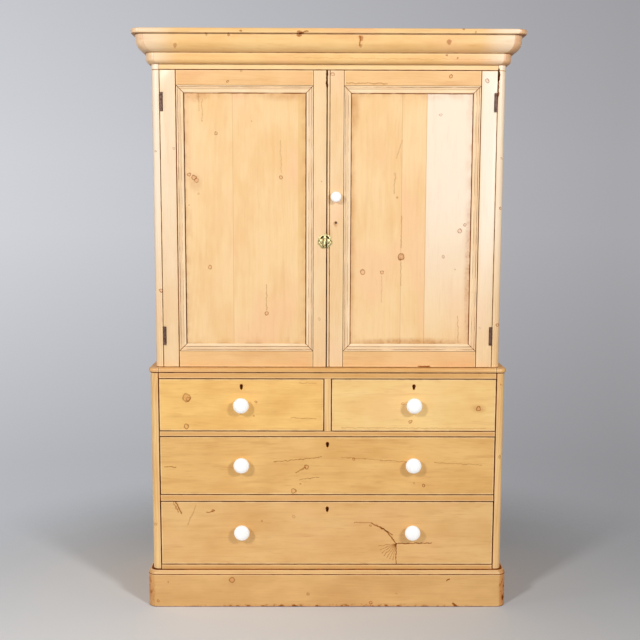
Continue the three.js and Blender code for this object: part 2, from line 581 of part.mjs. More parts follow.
// One door with its fittings, hung from its hinge pin. It is laid out for the left side.
// Its own x runs from the pin towards the meeting edge, and z from the foot of the door.
function door(side, hand, width, meetingStile, beaded, fittings) {
  const hungEdge = -KNUCKLE_RADIUS;
  const meetingEdge = hungEdge + width;
  const faceY = PIN_PROUD;
  const panelFront = faceY + PANEL_RECESS;
  const tongue = [panelFront - FIT, panelFront + PANEL_THICKNESS + FIT];
  const span = [hungEdge + HINGE_STILE, meetingEdge - meetingStile];
  const rise = [DOOR_BOTTOM_RAIL, doorHeight - DOOR_TOP_RAIL];
  const faces = [faceY, faceY + DOOR_THICKNESS];

  // Mortises in the stiles, and the tenons that fill them, share these heights
  const tenons = [
    [TENON_SHOULDER, DOOR_BOTTOM_RAIL - GROOVE_DEPTH],
    [doorHeight - DOOR_TOP_RAIL + GROOVE_DEPTH, doorHeight - TENON_SHOULDER],
  ];
  const mortises = (from, to) => tenons.map(([low, high]) => (
    block([from, to], tongue, [low - FIT, high + FIT])
  ));
  const groove = ([from, to], [low, high]) => block([from, to], tongue, [low, high]);
  const grooveRise = [rise[0] - GROOVE_DEPTH, rise[1] + GROOVE_DEPTH];

  const hingeCuts = hingeHeights.flatMap((height) => {
    const reach = [height - HINGE_HEIGHT / 2 - FIT, height + HINGE_HEIGHT / 2 + FIT];
    const leafBed = doorLeafFace + LEAF_THICKNESS + FIT;
    const knuckleBed = KNUCKLE_RADIUS + 2 * FIT;
    return [
      block([hungEdge - OVERRUN, leafBed], [faceY - OVERRUN, HINGE_DEPTH + PIN_PROUD + FIT], reach),
      block([hungEdge - OVERRUN, knuckleBed], [faceY - OVERRUN, knuckleBed], reach),
    ];
  });
  const hingeStile = cut(
    block([hungEdge, span[0]], faces, [0, doorHeight]),
    groove([span[0] - GROOVE_DEPTH, span[0] + OVERRUN], grooveRise),
    ...mortises(span[0] - TENON_LENGTH - FIT, span[0] + OVERRUN),
    ...hingeCuts,
  );

  const beadRadius = BEAD_WIDTH / 2;
  const beadMiddle = [meetingEdge - beadRadius, faceY + beadRadius];
  const bead = arc(beadMiddle, [beadRadius, -beadRadius], 0, 2, BEAD_STEPS);
  const quirk = meetingEdge - BEAD_WIDTH - BEAD_QUIRK;
  const beadedEdge = [...bead, [quirk, faceY + beadRadius], [quirk, faceY]];
  const section = [
    [span[1], faceY], [span[1], faces[1]], [meetingEdge, faces[1]],
    ...(beaded ? beadedEdge : [[meetingEdge, faceY]]),
  ];
  const meetingPiece = cut(
    prism(section, 'z', 0, doorHeight),
    groove([span[1] - OVERRUN, span[1] + GROOVE_DEPTH], grooveRise),
    ...mortises(span[1] - OVERRUN, span[1] + TENON_LENGTH + FIT),
    ...fittings.cutters(meetingEdge, faceY),
  );

  // A rail between the stiles, grooved for the panel, with a tenon at each end
  const rail = (low, high, grooveEdge, tenon) => {
    const body = block([span[0] + FIT, span[1] - FIT], faces, [low, high]);
    const panelGroove = groove([span[0] - OVERRUN, span[1] + OVERRUN], grooveEdge);
    const ends = block([span[0] - TENON_LENGTH, span[1] + TENON_LENGTH],
      [panelFront, panelFront + PANEL_THICKNESS], tenon);
    return join(cut(body, panelGroove), ends);
  };
  const bottomRail = rail(0, rise[0], [rise[0] - GROOVE_DEPTH, rise[0] + OVERRUN], tenons[0]);
  const topRail = rail(rise[1], doorHeight, [rise[1] - OVERRUN, rise[1] + GROOVE_DEPTH], tenons[1]);

  const hidden = GROOVE_DEPTH - FIT - FIT;
  const panel = block([span[0] - hidden, span[1] + hidden], [panelFront, panelFront + PANEL_THICKNESS],
    [rise[0] - hidden, rise[1] + hidden]);

  const depth = PANEL_RECESS - FIT;
  const corners = [[0, 0], [1, 0], [1, 1], [0, 1]];
  const mouldingRings = corners.map(([right, up]) => MOULDING_SHARES.map(([wide, high]) => {
    const inset = FIT + wide * MOULDING_WIDTH;
    const x = right ? span[1] - inset : span[0] + inset;
    const z = up ? rise[1] - inset : rise[0] + inset;
    return [x, faceY + depth * (1 - high), z];
  }));
  const moulding = loft(mouldingRings);

  const pieces = [
    ['hinge_stile', hingeStile, PINE], ['meeting_stile', meetingPiece, PINE],
    ['top_rail', topRail, PINE], ['bottom_rail', bottomRail, PINE],
    ['panel', panel, PALE_PINE], ['moulding', moulding, PINE],
  ].map(([piece, solid, color]) => part(`${side}_door_${piece}`, solid, wood(color), hand));
  const leaves = hingeHeights.map((height, index) => {
    const name = `${side}_${hingeNames[index]}_hinge_door_leaf`;
    const leaf = part(name, hingeLeaf(1), metal(IRON), hand);
    leaf.position.z = height;
    return leaf;
  });
  const pinX = -hand * (upperInside - RUNNING_GAP - KNUCKLE_RADIUS);
  return group([...pieces, ...leaves, ...fittings.pieces(meetingEdge, faceY)],
    pinX, -PIN_PROUD, upperFoot + RUNNING_GAP);
}

// Case-side hinge leaves of one door.
function caseLeaves(side, hand) {
  return hingeHeights.map((height, index) => {
    const name = `${side}_${hingeNames[index]}_hinge_case_leaf`;
    const leaf = part(name, hingeLeaf(0), metal(IRON), hand);
    leaf.position.set(-hand * (upperInside - RUNNING_GAP - KNUCKLE_RADIUS), -PIN_PROUD,
      upperFoot + RUNNING_GAP + height);
    return leaf;
  });
}

// Left door fittings: its share of the rosette, with the drop handle hung from it.
const leftFittings = {
  cutters: () => [],
  pieces: (meetingEdge, faceY) => {
    const reach = 2 * CATCH_RADIUS;
    const limit = CATCH_CENTRE - CATCH_EDGE;
    const half = block([-reach, limit], [-reach, reach], [-reach, reach]);
    const pivot = [CATCH_CENTRE - DROP_OFFSET, faceY - DROP_STAND, DROP_RISE];
    const ears = dropEars().translate(pivot[0], -DROP_STAND, pivot[2]);
    const plate = part('catch_plate', join(rosette().intersect(half), ears), metal(BRASS));
    plate.position.set(meetingEdge - CATCH_CENTRE, faceY, CATCH_HEIGHT);
    const drop = part('catch_drop', dropHandle(), metal(BRASS));
    drop.position.set(meetingEdge - DROP_OFFSET, pivot[1], CATCH_HEIGHT + DROP_RISE);
    return [plate, drop];
  },
};

// Right door fittings: knob, lock and the rest of the rosette.
const rightFittings = {
  cutters: (meetingEdge, faceY) => {
    const through = [faceY - OVERRUN, faceY + DOOR_THICKNESS + OVERRUN];
    const x = meetingEdge - DOOR_KNOB_EDGE;
    return [
      rod(DOOR_KNOB_SHANK + FIT, KNOB_SIDES, 'y', ...through, [x, DOOR_KNOB_HEIGHT]),
      rod(LOCK_POST_RADIUS + FIT, HINGE_SIDES, 'y', ...through, [x, LOCK_HEIGHT]),
    ];
  },
  pieces: (meetingEdge, faceY) => {
    const x = -(meetingEdge - DOOR_KNOB_EDGE);
    const turned = knob(DOOR_KNOB_RADIUS, DOOR_KNOB_LENGTH - FIT, DOOR_KNOB_SHANK, DOOR_THICKNESS);
    const handle = part('door_knob', turned, glaze());
    handle.position.set(x, faceY, DOOR_KNOB_HEIGHT);

    const halfWidth = LOCK_BODY_WIDTH / 2;
    const halfHeight = LOCK_BODY_HEIGHT / 2;
    const inner = DOOR_THICKNESS + FIT;
    const lockSolid = join(
      block([-halfWidth, halfWidth], [inner, inner + LOCK_BODY_DEPTH], [-halfHeight, halfHeight]),
      rod(LOCK_POST_RADIUS, HINGE_SIDES, 'y', -LOCK_POST_PROUD, inner + FIT, [0, 0]),
    );
    const lock = part('door_lock', lockSolid, metal(IRON));
    lock.position.set(x, faceY, LOCK_HEIGHT);

    const reach = 2 * CATCH_RADIUS;
    const gap = MEETING_GAP + CATCH_CENTRE;
    const half = block([gap + FIT, reach], [-reach, reach], [-reach, reach]);
    const keeper = part('catch_keeper', rosette().intersect(half), metal(BRASS));
    keeper.position.set(-meetingEdge - gap, faceY, CATCH_HEIGHT);
    return [handle, lock, keeper];
  },
};

// Cupboard case: sides, frieze rail, top, bottom, shelves and back.
function cupboard() {
  const half = UPPER_WIDTH / 2;
  const reach = upperInside + HOUSING_DEPTH - FIT;
  const back = innerBack - FIT;
  const shelfFront = upperBoardFront + SHELF_SETBACK;
  const clear = corniceFoot - upperFoot - 2 * SHELF;
  const shelfFeet = [];
  for (let index = 1; index <= SHELF_COUNT; index += 1) {
    shelfFeet.push(upperFoot + SHELF + (clear * index) / (SHELF_COUNT + 1) - SHELF / 2);
  }
  const housings = [
    [upperFoot - OVERRUN, upperFoot + SHELF, upperBoardFront, back],
    [corniceFoot - SHELF, corniceFoot + OVERRUN, upperBoardFront + FRIEZE_SETBACK, back],
    ...shelfFeet.map((foot) => [foot, foot + SHELF, shelfFront, back]),
  ];
  const board = (foot, front) => block([-reach, reach], [front, back], [foot, foot + SHELF]);
  const frieze = block([-upperInside + FIT, upperInside - FIT],
    [FRIEZE_SETBACK, FRIEZE_SETBACK + FRIEZE_THICKNESS - DOOR_STOP_GAP], [friezeFoot, corniceFoot]);
  const rise = [upperFoot + FIT, corniceFoot];
  const side = () => caseSide(half, UPPER_SIDE, 0, rise, UPPER_EDGE_RADIUS, housings);
  const shelves = shelfFeet.map((foot, index) => (
    part(`shelf_${index + 1}`, board(foot, shelfFront), wood(INSIDE_PINE))
  ));
  const topFront = upperBoardFront + FRIEZE_SETBACK;
  const bottom = block([-reach, reach], [upperBoardFront, back], [upperFoot + FIT, upperFoot + SHELF]);
  return [
    part('upper_side_left', side(), wood(PINE)),
    part('upper_side_right', side(), wood(PINE), -1),
    part('frieze_rail', frieze, wood(PINE)),
    part('upper_top', board(corniceFoot - SHELF, topFront), wood(INSIDE_PINE)),
    part('upper_bottom', bottom, wood(INSIDE_PINE)),
    ...shelves,
    part('upper_back', backBoards(reach, upperFoot + FIT, corniceFoot), wood(INSIDE_PINE)),
  ];
}

// Cornice: bed moulding on the case, then the large ovolo and the cap board over it.
function cornice() {
  const half = UPPER_WIDTH / 2;
  const bedFoot = corniceFoot - BED_HEIGHT;
  const bedReach = BED_PROJECTION - BED_FOOT;
  const bedCurve = arc([BED_FOOT, bedFoot + BED_CURVE], [bedReach, BED_CURVE], -1, 0, CURVE_STEPS);
  const bed = wrapMoulding([[FIT, corniceFoot], [FIT, bedFoot], ...bedCurve, [BED_PROJECTION, corniceFoot]],
    half, 0, UPPER_EDGE_RADIUS);

  const foot = corniceFoot + FIT;
  const ovoloTop = foot + OVOLO_HEIGHT;
  const ovoloReach = OVOLO_PROJECTION - OVOLO_FOOT;
  const ovolo = arc([OVOLO_FOOT, ovoloTop], [ovoloReach, OVOLO_HEIGHT], -1, 0, CURVE_STEPS);
  const flat = CAP_PROJECTION - CAP_EDGE_RADIUS;
  const moulding = wrapMoulding([
    [-CORNICE_WALL, foot], ...ovolo, [OVOLO_TOP_PROJECTION, capFoot], [-CORNICE_WALL, capFoot],
  ], half, 0, UPPER_EDGE_RADIUS);

  const capTop = capFoot + CAP_BOARD;
  const cap = edgedBoard([
    [flat, capFoot + FIT], [CAP_PROJECTION, capFoot + CAP_EDGE_RADIUS],
    [CAP_PROJECTION, capTop - CAP_EDGE_RADIUS], [flat, capTop],
  ], half, 0, UPPER_EDGE_RADIUS);
  return [
    part('bed_moulding', bed, wood(PINE)),
    part('cornice_moulding', moulding, wood(PINE)),
    part('cornice_cap', cap, wood(PINE)),
  ];
}

// Chest case: sides, rails with their runners, divider, waist board, back and plinth.
function chest() {
  const half = lowerWidth / 2;
  const back = innerBack - FIT;
  const housings = [
    [deepFoot - BOTTOM_BOARD, deepFoot, 0, back],
    [lowerRailFoot, middleFoot, 0, back],
    [upperRailFoot, topFoot, 0, back],
  ];
  const rise = [PLINTH_HEIGHT, waistFoot];
  const side = () => caseSide(half, LOWER_SIDE, -CASE_STEP, rise, LOWER_EDGE_RADIUS, housings);
  const inside = lowerInside - FIT;
  const sideRunners = [[-inside, -inside + RUNNER], [inside - RUNNER, inside]];
  const topRail = block([-inside, inside], [-CASE_STEP, RAIL_DEPTH], [topRailFoot, waistFoot]);
  const middle = [-DIVIDER / 2, DIVIDER / 2];
  const divider = block(middle, [-CASE_STEP, back], [topFoot + FIT, topRailFoot - FIT]);
  const dividerHead = block(middle, [RAIL_DEPTH + FIT, back], [topRailFoot - FIT, waistFoot]);
  const backReach = lowerInside + HOUSING_DEPTH - FIT;
  return [
    part('lower_side_left', side(), wood(PINE)),
    part('lower_side_right', side(), wood(PINE), -1),
    part('plinth', plinth(), wood(PINE)),
    part('chest_bottom', chestBottom(), wood(PINE)),
    part('lower_drawer_frame', drawerFrame(lowerRailFoot, LOWER_RAIL, sideRunners), wood(PINE)),
    part('upper_drawer_frame', drawerFrame(upperRailFoot, UPPER_RAIL, [...sideRunners, [-RUNNER, RUNNER]]),
      wood(PINE)),
    part('drawer_divider', join(divider, dividerHead), wood(PINE)),
    part('chest_top_rail', topRail, wood(PINE)),
    part('waist_board', waistBoard(), wood(PINE)),
    part('lower_back', backBoards(backReach, PLINTH_HEIGHT, waistFoot), wood(INSIDE_PINE)),
  ];
}

const wideKnobs = [-topDrawerMiddle, topDrawerMiddle];
const press = group([
  ...chest(),
  drawer('bottom_drawer', 2 * lowerInside, DEEP_OPENING, wideKnobs, DEEP_KNOB_RISE, 0, deepFoot),
  drawer('middle_drawer', 2 * lowerInside, MIDDLE_OPENING, wideKnobs, MIDDLE_KNOB_RISE, 0, middleFoot),
  drawer('top_left_drawer', topDrawerWidth, TOP_OPENING, [0], TOP_KNOB_RISE, -topDrawerMiddle, topFoot),
  drawer('top_right_drawer', topDrawerWidth, TOP_OPENING, [0], TOP_KNOB_RISE, topDrawerMiddle, topFoot),
  ...cupboard(),
  ...cornice(),
  ...caseLeaves('left', 1),
  ...caseLeaves('right', -1),
  door('left', 1, leftDoorWidth, LEFT_MEETING_STILE, false, leftFittings),
  door('right', -1, rightDoorWidth, RIGHT_MEETING_STILE, true, rightFittings),
], 0, (foremost - UPPER_DEPTH) / 2, 0);

export default press;
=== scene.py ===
# %% [markdown]
# # A pine linen press
# A cupboard with two panelled doors stands on a chest of four drawers. The CAD model is the
# fixed frame: it gives every board its place and every door and drawer its movement. This
# lesson dresses it in Blender. Boards get planed edges, mouldings get smooth profiles, and
# every surface gets a finish made of nodes. The dressed press has to stay inside it.

# %% Load the frame
import json
import bmesh
import bpy
import numpy as np
from mathutils import Matrix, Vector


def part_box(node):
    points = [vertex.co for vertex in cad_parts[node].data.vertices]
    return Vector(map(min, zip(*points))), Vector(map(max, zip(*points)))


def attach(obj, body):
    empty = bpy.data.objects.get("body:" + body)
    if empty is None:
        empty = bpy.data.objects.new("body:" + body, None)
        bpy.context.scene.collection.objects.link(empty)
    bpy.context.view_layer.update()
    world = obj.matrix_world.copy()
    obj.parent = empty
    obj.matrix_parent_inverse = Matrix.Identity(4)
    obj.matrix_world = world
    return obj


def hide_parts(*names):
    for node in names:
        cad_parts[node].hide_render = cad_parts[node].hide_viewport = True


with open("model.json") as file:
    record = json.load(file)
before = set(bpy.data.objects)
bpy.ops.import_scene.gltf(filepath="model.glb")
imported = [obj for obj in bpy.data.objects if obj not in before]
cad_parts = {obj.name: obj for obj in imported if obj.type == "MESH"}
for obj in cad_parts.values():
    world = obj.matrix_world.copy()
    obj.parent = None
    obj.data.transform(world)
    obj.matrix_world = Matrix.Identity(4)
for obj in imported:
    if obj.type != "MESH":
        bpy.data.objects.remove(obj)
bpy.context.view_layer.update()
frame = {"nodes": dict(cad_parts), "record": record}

body_of = {node: body for body, nodes in frame["record"]["behaviour"]["bodies"].items() for node in nodes}
slot_of = {row["node"]: row["material_slot"] for row in frame["record"]["subparts"]}

# %% [markdown]
# ## The camera
# The press is seen almost square on from chest height, with the camera tipped a little down,
# so the sides close in slightly towards the floor. A camera could be aimed with a constraint,
# but its place and its three small angles are known here, so the matrix is written out: the
# columns are its right, its up, and the direction away from the view.

# %% Place the camera
CAMERA_PLACE = (-0.0488, -3.5474, 1.4288)
CAMERA_LENS, SENSOR_WIDTH, FAR_END = 53.72, 36, 60
pitch, yaw, roll = np.radians([6.696, 0.363, 0.158])


def added(name, data):
    """A new object for the data, put into the scene."""
    thing = bpy.data.objects.new(name, data)
    bpy.context.scene.collection.objects.link(thing)
    return thing


def stand(thing, place, right, up, back):
    """Sets the thing at a place, with its x, y and z along the three directions."""
    matrix = np.eye(4)
    matrix[:3] = np.stack([right, up, back, place], axis=1)
    thing.matrix_world = Matrix(matrix.tolist())


forward = np.array([np.sin(yaw) * np.cos(pitch), np.cos(yaw) * np.cos(pitch), -np.sin(pitch)])
level = np.array([np.cos(yaw), -np.sin(yaw), 0])
upright = np.cross(level, forward)
right = level * np.cos(roll) + upright * np.sin(roll)
up = upright * np.cos(roll) - level * np.sin(roll)

camera = added("camera", bpy.data.cameras.new("camera"))
camera.data.lens, camera.data.sensor_width, camera.data.clip_end = CAMERA_LENS, SENSOR_WIDTH, FAR_END
stand(camera, CAMERA_PLACE, right, up, -forward)
bpy.context.scene.camera = camera
bpy.context.scene.view_settings.view_transform = "Standard"
print("camera", CAMERA_PLACE, "lens", CAMERA_LENS)

# %% [markdown]
# ## Arithmetic with sockets
# A finish is a tree of nodes. Wiring it by hand hides the sum behind a page of links, so one
# small class wraps a socket and lends it the usual signs: each sign adds a Math node. Numbers
# on the left work too, because the reflected forms are there. Colours and vectors never pass
# through a Math node, which would turn them grey. They have methods of their own.

# %% A socket with arithmetic
class Socket:
    """One output of a node. An operator on it adds a Math node and hands back that one's output."""

    def __init__(self, finish, link):
        self.finish, self.link = finish, link

    def math(self, operation, *values):
        return self.finish.node("ShaderNodeMath", {"operation": operation}, dict(enumerate(values)))

    def __add__(self, other): return self.math("ADD", self, other)
    def __radd__(self, other): return self.math("ADD", other, self)
    def __sub__(self, other): return self.math("SUBTRACT", self, other)
    def __rsub__(self, other): return self.math("SUBTRACT", other, self)
    def __mul__(self, other): return self.math("MULTIPLY", self, other)
    def __rmul__(self, other): return self.math("MULTIPLY", other, self)
    def __truediv__(self, other): return self.math("DIVIDE", self, other)
    def __rtruediv__(self, other): return self.math("DIVIDE", other, self)
    def __abs__(self): return self.math("ABSOLUTE", self)
    def __gt__(self, other): return self.math("GREATER_THAN", self, other)
    def __lt__(self, other): return self.math("LESS_THAN", self, other)

    def fraction(self): return self.math("FRACT", self)
    def least(self, other): return self.math("MINIMUM", self, other)
    def most(self, other): return self.math("MAXIMUM", self, other)

    def rise(self, low, high, course="SMOOTHSTEP"):
        """0 below low, 1 above high, and a step between them, smooth or linear. It falls if low is
        the larger."""
        inputs = {"Value": self, "From Min": low, "From Max": high}
        return self.finish.node("ShaderNodeMapRange", {"interpolation_type": course}, inputs)

# %% [markdown]
# ## A finish under construction
# Every other node comes from one method that takes the node's type, its settings and what goes
# into its sockets. Settings come first, because some of them change which sockets a node has.
# On top of that method sit a few short words for what finishes need most: noise, a blend of
# two colours, and vector sums. The light of the room is made with the same class.

# %% The finish class
class Finish:
    """The nodes of a new material, or of the world, added by short calls."""

    def __init__(self, name, home=bpy.data.materials):
        self.owner = home.new(name)
        self.owner.use_nodes = True
        self.tree = self.owner.node_tree
        self.shader = self.tree.nodes.get("Principled BSDF")

    def node(self, kind, settings=None, inputs=None, output=0):
        made = self.tree.nodes.new(kind)
        for key, value in (settings or {}).items():
            setattr(made, key, value)
        self.feed(made, inputs or {})
        return Socket(self, made.outputs[output]) if made.outputs else made

    def feed(self, made, inputs):
        for key, value in inputs.items():
            if isinstance(value, Socket):
                self.tree.links.new(value.link, made.inputs[key])
            else:
                made.inputs[key].default_value = value

    def shade(self, **inputs):
        """Sets or links the sockets of the shader, with _ for a space in their names."""
        self.feed(self.shader, {key.replace("_", " "): value for key, value in inputs.items()})
        return self.owner

    def place(self):
        return self.node("ShaderNodeTexCoord", output="Object")

    def vector(self, operation, *values):
        """A sum of vectors. A length, a distance and a dot product come out as plain numbers."""
        output = "Value" if operation in ("LENGTH", "DISTANCE", "DOT_PRODUCT") else 0
        return self.node("ShaderNodeVectorMath", {"operation": operation}, dict(enumerate(values)), output)

    def split(self, vector):
        made = self.node("ShaderNodeSeparateXYZ", inputs={"Vector": vector}).link.node
        return [Socket(self, out) for out in made.outputs]

    def noise(self, place, scale, shift=(0, 0, 0), detail=2.0, output="Fac"):
        """Noise at one scale, or with a scale for each axis, which draws it out along a board."""
        spread = self.vector("MULTIPLY_ADD", place, [scale] * 3 if np.isscalar(scale) else scale, shift)
        inputs = {"Vector": spread, "Scale": 1.0, "Detail": detail}
        return self.node("ShaderNodeTexNoise", None, inputs, output)

    def blend(self, factor, first, second, mode="MIX"):
        """First where the factor is 0, second where it is 1."""
        settings = {"data_type": "RGBA", "blend_type": mode, "clamp_factor": True}
        return self.node("ShaderNodeMix", settings, {0: factor, 6: first, 7: second}, 2)

    def bump(self, height, depth, strength=1.0):
        return self.node("ShaderNodeBump", None, {"Height": height, "Distance": depth, "Strength": strength})


def tone(red, green, blue):
    """A colour given as it looks on a screen, 0 to 255, turned into linear light."""
    share = np.array([red, green, blue]) / 255
    linear = np.where(share > 0.04045, ((share + 0.055) / 1.055) ** 2.4, share / 12.92)
    return (*linear.tolist(), 1.0)


print("pale pine in linear light", [round(v, 3) for v in tone(252, 211, 157)[:3]])

# %% [markdown]
# ## Pine
# Pine is pale early wood and darker late wood in yearly rings round the pith of the log. A
# board is a slice through those rings, so the finish works as the tree did: it measures the
# distance from a pith line that runs along the board, and lays a ring at each spacing. The line
# wavers a little, which gives the long arches of a flat-sawn face. Over that go fine fibres,
# slow drifts of colour, short dark streaks, and knots where branches stood. A picture of wood
# could be wrapped on, but rings worked out in space also meet correctly round every edge.

# %% Knots, cracks and joints
ALONG = {"x": 0, "y": 1, "z": 2}
DARK, RUST, STAIN = tone(62, 16, 0), tone(164, 88, 22), tone(205, 138, 74)
# The last tone is for a paler band beside seams and edges: a painted highlight
HEART, EDGE_HIGHLIGHT = tone(222, 144, 88), tone(255, 228, 178)
TAILS_PER_METRE, LAP = 26, 0.008


def drawn_out(along, across, lengthwise):
    """One value for the two directions across the grain, and another along it."""
    scale = [across] * 3
    scale[ALONG[along]] = lengthwise
    return scale


def shaken(f, place):
    """The place with its depth left out and its outline shaken by two sizes of noise."""
    moved = place
    for scale, reach, detail in ((70, 0.007, 0), (330, 0.0036, 1)):
        cloud = f.noise(place, scale, detail=detail, output="Color")
        cloud = f.vector("SUBTRACT", cloud, (0.5, 0.5, 0.5))
        moved = f.vector("MULTIPLY_ADD", cloud, (reach, 0, reach), moved)
    return f.vector("MULTIPLY", moved, (1, 0, 1))


def metres(rows):
    """Rows of millimetres, with a strength at the end of each that stays, turned into metres."""
    return [(*(value / 1000 for value in row[:-1]), row[-1]) for row in rows]


def knot_marks(f, flat, knots):
    """Rims, hearts and swells of knots given as (x, z, radius, strength), in millimetres.

    Each measures its distance to the middle of the knot in radii. The rim is a band at one
    radius and a fainter one at half, the heart all that lies inside, the swell a falloff to
    four and a half radii.
    """
    rim, heart, swell = 0.0, 0.0, 0.0
    for x, z, radius, strength in metres(knots):
        far = f.vector("DISTANCE", flat, (x, 0, z)) / radius
        band = abs(far - 1.0).rise(0.34, 0.06) * strength
        if radius > 0.008:
            band = abs(far - 0.5).rise(0.22, 0.0) * (strength * 0.5) + band
        rim = band + rim
        heart = far.rise(1.25, 0.7) * strength + heart
        swell = far.rise(4.5, 0.8) * radius + swell
    return rim, heart, swell


def crack_marks(f, flat, cracks):
    """Dark lines given as (x, z, x, z, width, strength), in millimetres: a band round a segment."""
    total = 0.0
    for x0, z0, x1, z1, width, strength in metres(cracks):
        run = np.array([x1 - x0, 0, z1 - z0])
        offset = f.vector("SUBTRACT", flat, (x0, 0, z0))
        along = f.vector("DOT_PRODUCT", offset, tuple(run / run.dot(run))).most(0.0).least(1.0)
        gap = f.vector("DISTANCE", offset, f.vector("MULTIPLY", tuple(run), along))
        total = gap.rise(width, width * 0.25) * strength + total
    return total


def dovetails(depth, z):
    """The lines of dovetails on the end of a board: slanting sides, and ends a lap behind its face."""
    spread = abs((z * TAILS_PER_METRE).fraction() - 0.5)
    slope = abs(spread - 0.4 + depth * 6).rise(0.05, 0.02) * (depth > LAP)
    return slope + abs(depth - LAP).rise(0.001, 0.0004) * (spread < 0.35)


def insets(x, z, box):
    """How far a place lies inside (low x, high x, low z, high z), from the sides and the ends."""
    return [(high - low) / 2 - abs(at - (low + high) / 2)
            for at, low, high in ((x, *box[:2]), (z, *box[2:]))]


def darkened(f, colour, soft, hard):
    """Stain where soft, then rust brown and at last near black as hard grows."""
    colour = f.blend(soft, colour, STAIN)
    colour = f.blend(hard * 2.2, colour, RUST)
    return f.blend(hard * hard, colour, DARK)


def waxed(f, colour, rough, height, coat):
    """Wood under a thin coat of wax, with a bump for its grain and its dents."""
    return f.shade(Base_Color=colour, Roughness=rough, Coat_Weight=coat.most(0.0), Coat_Roughness=0.3,
                   Specular_IOR_Level=0.08, Normal=f.bump(height, 0.0004, 0.45))

# %% [markdown]
# ### The finish itself
# The numbers that differ from board to board are arguments: the way the grain runs, the two
# colours, where the pith lay, glued joints, knots and cracks. A field is the sunk panel of a
# door, where polish and dirt gather along the edges; its dark line at the very edge is partly
# painted shade. Outlines and lines are the dark seams where one piece of wood meets the next:
# partly dark joints, partly painted shade in the gaps and creases, and the paler band beside
# them is a painted highlight on the edges. A side band paints a pale sheen and highlight near
# the sides and high up, partly a paled board, and on the left panel a darker tan band. Side
# shade paints the flanks darker, more on the right. Burnt knots are dark to their middle. Each
# hard mark dents the surface through one bump and breaks the thin coat of wax.

# %% The pine finish
CUPBOARD_FACE, CHEST_FACE, PANEL_FACE = -0.21, -0.229, -0.2
PEACH = np.array([1.0, 0.88, 0.93, 1.0])


